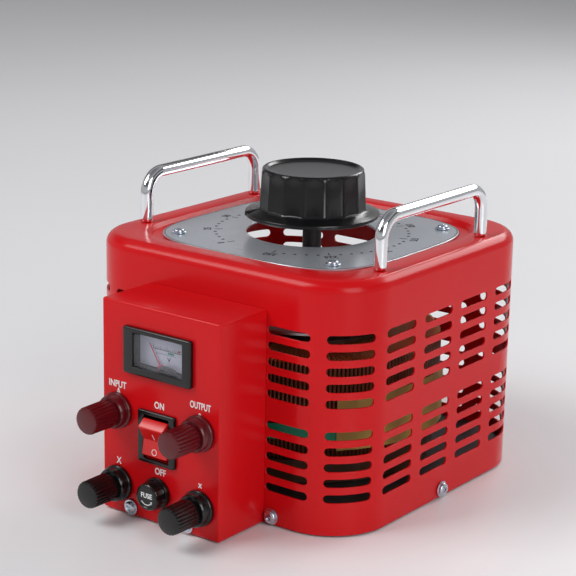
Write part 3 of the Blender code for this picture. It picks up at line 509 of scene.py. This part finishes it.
def case_cover():
    bm = bmesh.new()
    made = {}
    tip_steps = 8
    half = SLOT_HEIGHT / 2

    def corner(inset, distance, z):
        key = (round(inset, 7), round(distance, 7), round(z, 7))
        if key not in made:
            x, y = wall_point(distance, inset)
            made[key] = bm.verts.new((x, y, z))
        return made[key]

    def strip(points_above, points_below):
        for inset in (0.0, SHEET):
            for step in range(len(points_above) - 1):
                quad = (points_above[step], points_above[step + 1],
                        points_below[step + 1], points_below[step])
                bm.faces.new([corner(inset, distance, z) for distance, z in quad])

    columns = []
    for number in range(-COLUMNS_EACH_SIDE, COLUMNS_EACH_SIDE + 1):
        middle = number * COLUMN_PITCH
        start = middle - SLOT_LENGTH / 2 + half
        end = middle + SLOT_LENGTH / 2 - half
        columns.append([start + (end - start) * part / 8 for part in range(9)])

    def between(edge, after, lean):
        """Distances across the web from one column to the next, each end lean inside its slot's tip."""
        first = edge[-1] + lean
        last = after[0] - lean
        if last < first:
            return [first, last]
        parts = 6
        return [first + (last - first) * part / parts for part in range(parts + 1)]

    rows = [ROW_TOP - row * ROW_PITCH for row in range(ROWS) if row != BLANK_ROW]
    neighbours = list(zip(columns, columns[1:] + columns[:1]))
    ring = []
    for edge, after in neighbours:
        ring += edge + between(edge, after, 0.0)[1:-1]
    wall_top = CASE_HEIGHT - TOP_FILLET
    bands = [(wall_top, rows[0] + half)]
    bands += [(upper - half, lower + half) for upper, lower in zip(rows, rows[1:])]
    bands.append((rows[-1] - half, 0.0))
    closed = ring + ring[:1]
    for high, low in bands:
        strip([(distance, high) for distance in closed], [(distance, low) for distance in closed])
    tips = [math.pi / 2 - math.pi * step / tip_steps for step in range(tip_steps + 1)]
    for z in rows:
        levels = [(half * math.cos(angle), z + half * math.sin(angle)) for angle in tips]
        levels[0] = (0.0, z + half)
        levels[-1] = (0.0, z - half)
        for edge, after in neighbours:
            for (lean_a, high), (lean_b, low) in zip(levels, levels[1:]):
                strip([(distance, high) for distance in between(edge, after, lean_a)],
                      [(distance, low) for distance in between(edge, after, lean_b)])
        for edge in columns:
            right = [(edge[-1] + lean, level) for lean, level in levels]
            left = [(edge[0] - lean, level) for lean, level in reversed(levels)]
            top = [(distance, z + half) for distance in edge[1:-1]]
            bottom = [(distance, z - half) for distance in reversed(edge[1:-1])]
            outline = left + top + right + bottom
            for (d0, z0), (d1, z1) in zip(outline, outline[1:] + outline[:1]):
                bm.faces.new((corner(0.0, d0, z0), corner(0.0, d1, z1),
                              corner(SHEET, d1, z1), corner(SHEET, d0, z0)))

    def level(inset, z):
        return [corner(inset, distance, z) for distance in ring]

    def recess(half, z, bow=RECESS_BOW):
        return [bm.verts.new((*bowed_square(half, bow, *wall_point(distance)), z)) for distance in ring]

    def hole(z):
        return recess(HOLE_RADIUS + 1.0 * MM, z, bow=2)

    outside = [level(0.0, wall_top)]
    inside = [level(SHEET, wall_top)]
    for step in range(1, 9):
        angle = math.pi / 2 * step / 8
        for skin, inset in ((outside, 0.0), (inside, SHEET)):
            radius = TOP_FILLET - inset
            skin.append(level(TOP_FILLET - radius * math.cos(angle), wall_top + radius * math.sin(angle)))
    for wider, drop in ((0.9, 0.0), (0.35, 0.05), (0.0, 0.18), (-0.9, 0.82), (-1.2, 0.95), (-1.7, 1.0)):
        outside.append(recess(RECESS_HALF + wider * MM, CASE_HEIGHT - RECESS_DEPTH * drop))
    floor_z = CASE_HEIGHT - RECESS_DEPTH
    outside.append(hole(floor_z))
    inside.append(recess(RECESS_HALF + 1.1 * MM, CASE_HEIGHT - SHEET))
    inside.append(recess(RECESS_HALF + 0.1 * MM, floor_z - SHEET))
    inside.append(hole(floor_z - SHEET))
    bridge(bm, outside)
    bridge(bm, inside)
    bridge(bm, [outside[-1], inside[-1]])
    bridge(bm, [level(0.0, 0.0), level(SHEET, 0.0)])
    cover = show("case_cover_fine", bm, "red_enamel", Matrix.Translation(CENTRE), bevel=0.25 * MM)
    stands_for(cover, "red_enamel", "case_cover")


# ---- top ---------------------------------------------------------------------------------------

def dial_plate():
    low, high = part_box("dial_plate")
    half = (high[0] - low[0]) / 2
    count = 144
    outer = bowed_outline(half, PLATE_BOW, count)
    inner = circle(HOLE_RADIUS, count)
    thick = high[2] - low[2]
    edge = 0.25 * MM
    shrunk = bowed_outline(half - edge, PLATE_BOW, count)
    eased = circle(HOLE_RADIUS + edge, count)
    rings = [[(x, y, 0) for x, y in outer], [(x, y, thick - edge) for x, y in outer],
             [(x, y, thick) for x, y in shrunk], [(x, y, thick) for x, y in eased],
             [(x, y, thick - edge) for x, y in inner], [(x, y, 0) for x, y in inner]]
    place = Matrix.Translation((CENTRE.x, CENTRE.y, low[2]))
    plate = show("dial_plate_fine", stack(rings, ends="join"), "dial_silver", place)
    stands_for(plate, "dial_silver", "dial_plate")
    scale(Matrix.Translation((CENTRE.x, CENTRE.y, high[2] + PRINT_LIFT)))
    wide = bowed_outline(half - 0.7 * MM, PLATE_BOW, count)
    slim = bowed_outline(half - 1.1 * MM, PLATE_BOW, count)
    print_top = PRINT_THICK
    line = stack([[(x, y, z) for x, y in outline] for outline, z in (
        (wide, 0), (wide, print_top), (slim, print_top), (slim, 0))], ends="join")
    print_place = Matrix.Translation((CENTRE.x, CENTRE.y, high[2] + PRINT_LIFT))
    border = show("dial_border", line, "print_black", print_place)
    extra(border)


def scale(place):
    """Dots every 5 V and numbers every 25 V, clockwise from zero."""
    dots = bmesh.new()
    for step in range(51):
        angle = math.radians(DIAL_ZERO - DIAL_SPAN * step / 50)
        major = step % 5 == 0
        radius = 1.0 * MM if not major else 0.7 * MM
        if major:
            length = 5.0 * MM
            across = Vector((-math.sin(angle), math.cos(angle))) * 0.35 * MM
            near = Vector((math.cos(angle), math.sin(angle))) * (DOT_RADIUS - 4.5 * MM)
            far = Vector((math.cos(angle), math.sin(angle))) * (DOT_RADIUS - 4.5 * MM + length)
            corners = [near - across, far - across, far + across, near + across]
            prism([(c.x, c.y) for c in corners], 0, PRINT_THICK, dots)
        else:
            x, y = DOT_RADIUS * math.cos(angle), DOT_RADIUS * math.sin(angle)
            prism([(x + a, y + b) for a, b in circle(radius, 16)], 0, PRINT_THICK, dots)
    extra(show("dial_dots", dots, "print_black", place))
    words = []
    for step in range(11):
        angle = math.radians(DIAL_ZERO - DIAL_SPAN * step / 10)
        x, y = NUMBER_RADIUS * math.cos(angle), NUMBER_RADIUS * math.sin(angle)
        words.append((str(25 * step), x, y, angle - math.pi / 2))
    lettering("dial_numbers", words, "print_black", place, 4.6 * MM,
              bold=0.1 * MM, narrow=0.85)


def tube(path, radii, steps):
    """Round bar through points of the YZ plane."""
    rings = []
    for number, (point, radius) in enumerate(zip(path, radii)):
        before = Vector(path[max(number - 1, 0)])
        after = Vector(path[min(number + 1, len(path) - 1)])
        along = (after - before).normalized() if (after - before).length > 0 else Vector((0, 1))
        ring = []
        for across, out in circle(radius, steps):
            ring.append((across, point[0] - along.y * out, point[1] + along.x * out))
        rings.append(ring)
    return stack(rings)


def handles():
    for side in ("left", "right"):
        low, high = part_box("handle_" + side)
        radius = (high[0] - low[0]) / 2
        foot_z = cover_high[2] + SEAT
        half = (high[1] - low[1]) / 2 - radius
        bar_z = high[2] - radius
        bend = 13 * MM
        path = [(half, foot_z), (half, foot_z + 0.4 * MM), (half, foot_z + 2 * MM)]
        for step in range(17):
            angle = math.pi / 2 * step / 16
            path.append((half - bend + bend * math.cos(angle), bar_z - bend + bend * math.sin(angle)))
        path += [(half * share, bar_z) for share in (0.5, 0.2)]
        path += [(-y, z) for y, z in reversed(path)]
        radii = [radius] * len(path)
        radii[0] = radii[-1] = radius - 0.35 * MM
        place = Matrix.Translation(((low[0] + high[0]) / 2, CENTRE.y, 0))
        bar = show("handle_" + side + "_fine", tube(path, radii, 40), "chrome", place, sharp=50)
        stands_for(bar, "chrome", "handle_" + side)


def screw(node, place, head_radius, washer_radius, washer_thick=0.9 * MM, slot="zinc"):
    """Pan head with a cross recess on a plain washer. place: local Z points out of the surface."""
    low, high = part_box(node)
    inverse = place.inverted()
    proud = max((inverse @ Vector(corner)).z for corner in (low, high))
    seat = SEAT
    rise = proud - seat - washer_thick
    profile = [(0, seat - 1.5 * MM), (1.4 * MM, seat - 1.5 * MM), (1.4 * MM, seat),
               (washer_radius - 0.15 * MM, seat),
               (washer_radius, seat + 0.15 * MM), (washer_radius, seat + washer_thick - 0.2 * MM),
               (washer_radius - 0.3 * MM, seat + washer_thick), (head_radius, seat + washer_thick)]
    for step in range(7):
        angle = math.pi / 2 * step / 6
        profile.append((head_radius * (0.45 + 0.55 * math.cos(angle)),
                        seat + washer_thick + rise * (0.35 + 0.65 * math.sin(angle))))
    profile.append((0, proud))
    body = show(node + "_fine", turned(profile, 40), slot, place)
    arm = head_radius * 0.62
    wide = 0.42 * MM
    cross = [(wide, wide), (wide, arm), (-wide, arm), (-wide, wide), (-arm, wide), (-arm, -wide),
             (-wide, -wide), (-wide, -arm), (wide, -arm), (wide, -wide), (arm, -wide), (arm, wide)]
    rings = [[(x * 0.35, y * 0.35, proud - rise * 0.9) for x, y in cross],
             [(x, y, proud + 0.3 * MM) for x, y in cross]]
    carve(body, stack(rings))
    body.data.shade_smooth()
    body.data.set_sharp_from_angle(angle=math.radians(32))
    stands_for(body, slot, node)


def screws():
    for corner in ("front_left", "front_right", "rear_left", "rear_right"):
        node = "dial_screw_" + corner
        middle = node_centre(node)
        plate_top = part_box("dial_plate")[1][2]
        twist = Matrix.Rotation(math.radians(hash_angle(corner)), 4, "Z")
        screw(node, Matrix.Translation((middle.x, middle.y, plate_top)) @ twist, 3.3 * MM, 4.4 * MM)
    walls = {"front": (None, cover_low[1]), "rear": (None, cover_high[1]),
             "left": (cover_low[0], None), "right": (cover_high[0], None)}
    for side, (x, y) in walls.items():
        node = "cover_screw_" + side
        middle = node_centre(node)
        spot = (middle.x if x is None else x, middle.y if y is None else y, middle.z)
        twist = Matrix.Rotation(math.radians(hash_angle(side)), 4, "Z")
        screw(node, Matrix.Translation(spot) @ FACING[side] @ twist, 4.0 * MM, 4.9 * MM)
    for side in ("left", "right"):
        node = "panel_screw_" + side
        middle = node_centre(node)
        twist = Matrix.Rotation(math.radians(hash_angle(side + "p")), 4, "Z")
        screw(node, on_panel(middle.x, middle.z) @ twist, 3.6 * MM, 4.8 * MM)


def hash_angle(word):
    """A fixed, scattered angle for each screw, so that the cross recesses don't line up."""
    return sum(ord(letter) * (place + 3) for place, letter in enumerate(word)) * 37 % 90


# ---- knob --------------------------------------------------------------------------------------

def knob():
    low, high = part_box("knob")
    height = high[2] - low[2]
    skirt = 41 * MM
    base = 32.8 * MM
    top = 31.4 * MM
    rim = 4.6 * MM
    profile = [(5.9 * MM, 0.2 * MM, 0), (skirt - 1.2 * MM, 0.2 * MM, 0), (skirt - 0.8 * MM, 0, 0),
               (skirt - 0.2 * MM, 0.25 * MM, 0), (skirt, 0.8 * MM, 0), (skirt, 1.9 * MM, 0),
               (skirt - 0.3 * MM, 2.4 * MM, 0), (base + 4 * MM, rim - 0.9 * MM, 0),
               (base + 1.3 * MM, rim - 0.1 * MM, 0), (base + 0.5 * MM, rim + 0.4 * MM, 0.35),
               (base, rim + 1.6 * MM, 1.0),
               (top + 0.3 * MM, height - 3.2 * MM, 1.0), (top + 0.1 * MM, height - 2.0 * MM, 0.75),
               (top - 0.5 * MM, height - 0.7 * MM, 0.2), (top - 1.4 * MM, height - 0.1 * MM, 0.0),
               (top - 2.2 * MM, height, 0), (top - 3.0 * MM, height - 0.25 * MM, 0),
               (top - 3.8 * MM, height - 1.1 * MM, 0), (top - 4.6 * MM, height - 1.5 * MM, 0),
               (top - 8 * MM, height - 1.7 * MM, 0), (4 * MM, height - 1.8 * MM, 0)]
    spin = Matrix.Rotation(math.radians(POINTER_ANGLE), 4, "Z")
    place = Matrix.Translation((CENTRE.x, CENTRE.y, low[2])) @ spin
    body = show("knob_fine", fluted(profile, 16, 0.9 * MM, 12), "black_plastic", place, sharp=40)
    stands_for(body, "black_plastic", "knob", body="rotor")
    wedge = [[(base - 3 * MM, -4.2 * MM, rim - 0.6 * MM), (base - 3 * MM, 4.2 * MM, rim - 0.6 * MM),
              (base - 3 * MM, 1.2 * MM, rim + 1.0 * MM), (base - 3 * MM, -1.2 * MM, rim + 1.0 * MM)],
             [(skirt + 0.8 * MM, -1.0 * MM, 0.9 * MM), (skirt + 0.8 * MM, 1.0 * MM, 0.9 * MM),
              (skirt + 0.8 * MM, 0.3 * MM, 3.4 * MM), (skirt + 0.8 * MM, -0.3 * MM, 3.4 * MM)]]
    pointer = show("knob_pointer", stack(wedge), "black_plastic", place, bevel=0.2 * MM)
    extra(pointer, "rotor")


# ---- terminal box ------------------------------------------------------------------------------

def panel_box():
    low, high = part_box("panel_box")
    width = high[0] - low[0]
    tall = high[2] - low[2]
    deep = high[1] - low[1]
    edge = 1.1 * MM

    def level(shrink, depth):
        outline = rounded_rectangle(width - 2 * shrink, tall - 2 * shrink, edge, 5)
        return [(x, y, depth) for x, y in outline]

    rings = [level(SHEET, -SHEET), level(SHEET, -deep), level(0, -deep)]
    for step in range(7):
        angle = math.pi / 2 * step / 6
        rings.append(level(edge * (1 - math.cos(angle)), -edge + edge * math.sin(angle)))
    middle_x = (low[0] + high[0]) / 2
    middle_z = (low[2] + high[2]) / 2
    box = show("panel_box_fine", stack(rings), "red_enamel", on_panel(middle_x, middle_z))
    cuts = bmesh.new()
    for node, shrink in (("meter_case", 2.0 * MM), ("switch_body", 2.8 * MM)):
        node_low, node_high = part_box(node)
        outline = rounded_rectangle(node_high[0] - node_low[0] - 2 * shrink,
                                    node_high[2] - node_low[2] - 2 * shrink, 1 * MM)
        centre = node_centre(node)
        prism([(x + centre.x - middle_x, y + centre.z - middle_z) for x, y in outline], -4 * MM, 2 * MM, cuts)
    for node in ("post_input_top_collar", "post_input_bottom_collar", "post_output_top_collar",
                 "post_output_bottom_collar", "fuse_holder"):
        centre = node_centre(node)
        radius = 5.4 * MM if node.startswith("post") else 6.4 * MM
        prism([(x + centre.x - middle_x, y + centre.z - middle_z) for x, y in circle(radius, 24)],
              -4 * MM, 2 * MM, cuts)
    carve(box, cuts)
    box.data.shade_smooth()
    box.data.set_sharp_from_angle(angle=math.radians(32))
    stands_for(box, "red_enamel", "panel_box")


def panel_words():
    place = Matrix.Translation((0, PANEL_FRONT_Y - PRINT_LIFT, CENTRE.z)) @ FACE_FRONT
    words = (("INPUT", -33.0, 77.6), ("A", -32.2, 73.4), ("a", 28.4, 72.8), ("ON", -1.4, 71.2),
             ("OFF", -0.6, 31.6), ("X", -32.2, 31.2), ("x", 28.8, 31.4))
    output = (("OUTPUT", 28.6, 77.8),)
    for name, rows, narrow in (("panel_words", words, 0.84), ("panel_output", output, 0.68)):
        placed = [(text, x * MM, z * MM, 0) for text, x, z in rows]
        lettering(name, placed, "print_white", place, 3.9 * MM,
                  bold=0.12 * MM, narrow=narrow)


def voltmeter():
    low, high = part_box("meter_case")
    centre = node_centre("meter_case")
    width = high[0] - low[0]
    tall = high[2] - low[2]
    proud = PANEL_FRONT_Y - low[1]
    place = on_panel(centre.x, centre.z)
    pane_low, pane_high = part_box("meter_window")
    pane = node_centre("meter_window")
    window = (pane.x - centre.x, pane.z - centre.z)
    wide = pane_high[0] - pane_low[0] + 0.6 * MM
    high_pane = pane_high[2] - pane_low[2] + 0.6 * MM

    def level(size, depth, radius, middle=(0, 0)):
        return [(x, y, depth) for x, y in rounded_rectangle(*size, radius * MM, 5, middle)]

    bezel = (width, tall)
    body = (46 * MM, 24.6 * MM)
    cavity = (40 * MM, 21 * MM)
    lip = -1.0 * MM
    seat = 0.3 * MM
    rings = [level(body, -24 * MM, 1.0), level(body, seat, 1.0), level(bezel, seat, 1.2)]
    for step in range(5):
        angle = math.pi / 2 * step / 4
        ease = 1.0 * MM
        shrink = ease * (1 - math.cos(angle)) * 2
        rings.append(level((width - shrink, tall - shrink), proud - ease + ease * math.sin(angle), 1.2))
    opening = (wide, high_pane)
    rings += [level((wide + 0.8 * MM, high_pane + 0.8 * MM), proud - 0.05 * MM, 0.8, window),
              level(opening, proud - 0.6 * MM, 0.6, window), level(opening, lip, 0.6, window),
              level(cavity, lip, 0.6, window), level(cavity, -7 * MM, 0.6, window)]
    stands_for(show("meter_case_fine", stack(rings), "black_plastic", place), "black_plastic", "meter_case")
    pane_depths = (PANEL_FRONT_Y - pane_high[1], PANEL_FRONT_Y - pane_low[1])
    glass = prism(rounded_rectangle(wide - 0.6 * MM, high_pane - 0.6 * MM, 0.6 * MM), *pane_depths)
    sheet = show("meter_window_fine", glass, "clear_window", on_panel(pane.x, pane.z), bevel=0.2 * MM)
    stands_for(sheet, "clear_window", "meter_window")
    meter_print()


def bars(name, rows, look, place):
    """Printed bars on the meter card. rows: (left, right, bottom, top) in millimetres."""
    bm = bmesh.new()
    for left, right, bottom, top in rows:
        corners = ((left, bottom), (right, bottom), (right, top), (left, top))
        prism([(x * MM, z * MM) for x, z in corners], 0, PRINT_THICK, bm)
    extra(show(name, bm, look, place))


def meter_print():
    """Two level scale lines with graduations, a green and a red stretch, a V and the pivot cover."""
    card_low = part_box("meter_dial")[0]
    place = on_panel(CENTRE.x, CENTRE.z, PANEL_FRONT_Y - card_low[1] + PRINT_LIFT)
    upper = 102.4
    lower = 100.1
    rows = [(-10.8, 9.4, upper - 0.15, upper + 0.15), (-8.9, 5.7, lower - 0.1, lower + 0.1)]
    divisions = 16
    for step in range(divisions + 1):
        x = -10.8 + 20.2 * step / divisions
        tall = 2.3 if step % 4 == 0 else 1.4
        rows.append((x - 0.12, x + 0.12, upper, upper + tall))
    bars("meter_scale", rows, "print_black", place)
    bars("meter_green", [(-0.1, 4.3, lower + 0.5, upper - 0.6)], "print_green", place)
    bars("meter_red", [(7.2, 8.8, upper + 0.6, upper + 1.8)], "print_red", place)
    lettering("meter_letter", [("V", 0.7 * MM, 97.3 * MM, 0)], "print_black", place, 2.9 * MM,
              bold=0.05 * MM)
    cover = bmesh.new()
    rim = []
    for step in range(25):
        angle = math.pi * step / 24
        rim.append(((2.65 + 6.45 * math.cos(angle)) * MM, (92.0 + 2.9 * math.sin(angle)) * MM))
    prism(rim, 2.8 * MM, 3.6 * MM, cover)
    extra(show("meter_pivot_cover", cover, "core_steel", place, bevel=0.2 * MM))


def mains_switch():
    low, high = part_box("switch_body")
    centre = node_centre("switch_body")
    width = high[0] - low[0]
    tall = high[2] - low[2]
    proud = PANEL_FRONT_Y - low[1]
    place = on_panel(centre.x, centre.z)

    def level(size, depth, radius):
        return [(x, y, depth) for x, y in rounded_rectangle(*size, radius * MM, 5)]

    opening = (18.7 * MM, 26.3 * MM)
    body = (21 * MM, 27 * MM)
    seat = 0.3 * MM
    rings = [level(body, -22 * MM, 0.8), level(body, seat, 0.8), level((width, tall), seat, 1.2)]
    for step in range(5):
        angle = math.pi / 2 * step / 4
        ease = 0.9 * MM
        shrink = ease * (1 - math.cos(angle)) * 2
        rings.append(level((width - shrink, tall - shrink), proud - ease + ease * math.sin(angle), 1.2))
    rings += [level((opening[0] + 0.8 * MM, opening[1] + 0.8 * MM), proud, 0.7),
              level(opening, proud - 0.5 * MM, 0.6), level(opening, -10 * MM, 0.6)]
    stands_for(show("switch_body_fine", stack(rings), "black_plastic", place), "black_plastic", "switch_body")
    rocker(centre)


def rocker(centre):
    """Two-faced rocker, off: the lower end is pressed in. I and O are printed on its face."""
    tilt = math.radians(11)
    half = 12 * MM
    face_out = {0.0: 5.4, 8.0: 8.15, 8.7: 8.35, 9.3: 7.9, 11.6: 3.7, 12.0: 2.6}
    falling = sorted(face_out, reverse=True)[:-1]
    face = [(-up * MM, face_out[up]) for up in falling] + [(up * MM, face_out[up]) for up in sorted(face_out)]
    back = [(half * 0.75, -2.0), (0, -4.5), (-half * 0.75, -2.0)]
    turn = Matrix.Rotation(tilt, 4, "X")
    place = Matrix.Translation((centre.x, PANEL_FRONT_Y + 3 * MM, centre.z)) @ FACE_FRONT @ turn
    wide = 9 * MM
    outline = [(up, out * MM) for up, out in face + back]
    rings = [[(x, up, out) for up, out in outline] for x in (-wide, wide)]
    body = show("switch_rocker_fine", stack(rings), "rocker_red", place, bevel=0.35 * MM)
    stands_for(body, "rocker_red", "switch_rocker", body="rocker")
    marks = bmesh.new()
    slope = math.atan2(face_out[8.0] - face_out[0.0], 8.0)

    def on_face(up):
        """Frame on the rocker's face, at a height from its middle."""
        out = face_out[0.0] * MM + abs(up) * math.tan(slope)
        lean = slope if up > 0 else -slope
        return Matrix.Translation((0, up, out)) @ Matrix.Rotation(lean, 4, "X")

    corners = ((-0.25, -2.1), (0.25, -2.1), (0.25, 2.1), (-0.25, 2.1))
    bar = prism([(x * MM, y * MM) for x, y in corners], 0, 0.06 * MM)
    bmesh.ops.transform(bar, matrix=on_face(3.0 * MM), verts=bar.verts)
    ring = stack([[(x, y, z) for x, y in circle(radius, 32)] for radius, z in
                  ((1.9 * MM, 0), (1.9 * MM, 0.06 * MM), (1.5 * MM, 0.06 * MM), (1.5 * MM, 0))], ends="join")
    bmesh.ops.transform(ring, matrix=on_face(-6.2 * MM), verts=ring.verts)
    for part in (bar, ring):
        mesh = bpy.data.meshes.new("mark")
        part.to_mesh(mesh)
        part.free()
        marks.from_mesh(mesh)
    extra(show("rocker_marks", marks, "print_white", place), "rocker")


def binding_posts():
    for side in ("input", "output"):
        for row, look in (("top", "red_plastic"), ("bottom", "black_plastic")):
            name = "post_" + side + "_" + row
            low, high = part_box(name + "_collar")
            centre = node_centre(name + "_collar")
            place = on_panel(centre.x, centre.z)
            flange = (high[0] - low[0]) / 2
            collar = [(2.1, -6.0), (5.1, -6.0), (5.1, 0.3), (10.45, 0.3), (10.7, 0.6), (10.7, 2.4),
                      (10.4, 2.8), (9.5, 3.1), (9.3, 3.6), (9.5, 4.2), (9.8, 4.6), (9.8, 6.6), (9.4, 7.4),
                      (9.0, 8.0), (2.1, 8.0)]
            scale_up = flange / (10.7 * MM)
            profile = [(r * MM * scale_up, z * MM) for r, z in collar]
            made = show(name + "_collar_fine", turned(profile, 56), look, place)
            stands_for(made, look, name + "_collar")
            out = PANEL_FRONT_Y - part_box(name + "_cap")[0][1]
            end = out / MM
            cap = [(2.1, 8.4, 0), (7.4, 8.4, 0), (7.5, 9.6, 0), (7.9, 9.8, 0.4), (8.3, 10.2, 1.0),
                   (8.1, end - 1.5, 1.0), (7.95, end - 0.9, 0.7), (7.6, end - 0.35, 0.3), (6.9, end, 0),
                   (1.0, end, 0)]
            profile = [(r * MM, z * MM, share) for r, z, share in cap]
            knurled = fluted(profile, 26, 0.55 * MM, 6)
            body = "cap_" + side + "_" + row
            stands_for(show(name + "_cap_fine", knurled, look, place), look, name + "_cap", body=body)


def fuse():
    centre = node_centre("fuse_holder")
    place = on_panel(centre.x, centre.z)
    holder = [(3.6, -24), (6.1, -24), (6.1, 0.3), (9.1, 0.3), (9.35, 0.6), (9.35, 2.7),
              (9.1, 3.3), (8.6, 3.5), (3.6, 3.5)]
    profile = [(r * MM, z * MM) for r, z in holder]
    made = show("fuse_holder_fine", turned(profile, 56), "black_plastic", place)
    stands_for(made, "black_plastic", "fuse_holder")
    end = (PANEL_FRONT_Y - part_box("fuse_cap")[0][1]) / MM
    cap = [(3.2, -3, 0), (3.2, 3.8, 0), (8.5, 3.8, 0), (8.8, 4.3, 0), (8.6, 5.0, 0.8), (8.1, end - 1.8, 0.8),
           (7.9, end - 0.9, 0), (7.4, end - 0.2, 0), (7.0, end, 0), (6.3, end, 0), (5.9, end - 0.3, 0),
           (1.0, end - 0.3, 0)]
    profile = [(r * MM, z * MM, share) for r, z, share in cap]
    body = show("fuse_cap_fine", fluted(profile, 20, 0.3 * MM, 6), "black_plastic", place)
    stands_for(body, "black_plastic", "fuse_cap", body="fuse_carrier")
    face = on_panel(centre.x, centre.z, (end - 0.28) * MM)
    lettering("fuse_word", [("FUSE", 0, 1.0 * MM, 0)], "print_white", face, 2.9 * MM,
              body="fuse_carrier", bold=0.1 * MM, narrow=0.95)
    arrow = bmesh.new()
    points = []
    for radius in (4.2 * MM, 4.7 * MM):
        points.append([(radius * math.cos(math.radians(a)), radius * math.sin(math.radians(a)))
                       for a in range(215, 326, 10)])
    prism(points[0] + points[1][::-1], 0, 0.06 * MM, arrow)
    tip = math.radians(338)
    start = math.radians(320)
    prism([(3.5 * MM * math.cos(start), 3.5 * MM * math.sin(start)),
           (5.4 * MM * math.cos(start), 5.4 * MM * math.sin(start)),
           (4.4 * MM * math.cos(tip), 4.4 * MM * math.sin(tip))], 0, 0.06 * MM, arrow)
    extra(show("fuse_arrow", arrow, "print_white", face), "fuse_carrier")


# ---- inside ------------------------------------------------------------------------------------

def winding():
    """Turns of round wire, each a rounded loop round the core's section."""
    low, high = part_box("toroid_winding")
    outer = 81.4 * MM
    inner = 40.6 * MM
    wire = 1.15 * MM
    bottom = low[2] + wire
    top = high[2] - wire
    loop = rounded_rectangle(outer - inner - 2 * wire, top - bottom, 3 * MM, 3,
                             ((outer + inner) / 2, (top + bottom) / 2))
    turns = 186
    span = 332
    start = DIAL_ZERO + (360 - DIAL_SPAN) / 2 + (360 - span) / 2
    bm = bmesh.new()
    count = len(loop)
    for turn in range(turns):
        angle = math.radians(start + span * (turn + 0.5) / turns)
        rings = []
        for number, (radius, z) in enumerate(loop):
            before = Vector(loop[number - 1])
            after = Vector(loop[(number + 1) % count])
            along = (after - before).normalized()
            outward = Vector((along.y, -along.x))
            ring = []
            for across, out in circle(wire, 6):
                reach = radius + outward.x * out
                height = z + outward.y * out
                ring.append((reach * math.cos(angle) - across * math.sin(angle),
                             reach * math.sin(angle) + across * math.cos(angle), height))
            rings.append(ring)
        stack(rings, ends="join", bm=bm)
    place = Matrix.Translation((CENTRE.x, CENTRE.y, 0))
    made = show("winding_turns", bm, "copper_winding", place, sharp=80)
    stands_for(made, "copper_winding", "toroid_winding")


def feet_and_band():
    for corner in ("front_left", "front_right", "rear_left", "rear_right"):
        node = "foot_" + corner
        low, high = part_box(node)
        centre = node_centre(node)
        radius = (high[0] - low[0]) / 2
        tall = high[2] - low[2]
        profile = [(0, 0.6 * MM), (radius * 0.35, 0.6 * MM), (radius * 0.4, 0), (radius * 0.82, 0),
                   (radius * 0.9, 0.5 * MM), (radius, 2.2 * MM), (radius, tall - 0.4 * MM),
                   (radius * 0.97, tall), (0, tall)]
        place = Matrix.Translation((centre.x, centre.y, low[2]))
        stands_for(show(node + "_fine", turned(profile, 48), "rubber", place), "rubber", node)
    low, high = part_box("winding_band")
    radius = (high[0] - low[0]) / 2
    profile = [(radius - 0.6 * MM, low[2]), (radius, low[2]), (radius, high[2]), (radius - 0.6 * MM, high[2])]
    place = Matrix.Translation((CENTRE.x, CENTRE.y, 0))
    made = show("winding_band_fine", turned(profile, 128), "band_green", place)
    stands_for(made, "band_green", "winding_band")
    low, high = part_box("brush_disc")
    radius = (high[0] - low[0]) / 2
    profile = [(6.0 * MM, low[2]), (radius - 0.3 * MM, low[2]), (radius, low[2] + 0.3 * MM),
               (radius, high[2] - 0.3 * MM), (radius - 0.3 * MM, high[2]), (6.0 * MM, high[2])]
    made = show("brush_disc_fine", turned(profile, 128), "aluminium", place)
    stands_for(made, "aluminium", "brush_disc", body="rotor")
    low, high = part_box("shaft")
    radius = (high[0] - low[0]) / 2
    profile = [(0, low[2]), (radius, low[2]), (radius, high[2]), (0, high[2])]
    made = show("shaft_fine", turned(profile, 48), "dark_steel", place)
    stands_for(made, "dark_steel", "shaft", body="rotor")


def carried_over():
    """CAD nodes that stay as they are get the procedural material of their slot."""
    slots = {entry["node"]: entry["material_slot"] for entry in frame["record"]["subparts"]}
    for node, obj in frame["nodes"].items():
        obj.data.materials.clear()
        obj.data.materials.append(LOOKS[slots[node]])


bpy.context.scene.view_settings.view_transform = "Standard"
camera()
studio()
carried_over()
case_cover()
dial_plate()
handles()
screws()
knob()
panel_box()
panel_words()
voltmeter()
mains_switch()
binding_posts()
fuse()
winding()
feet_and_band()

bpy.context.view_layer.update()
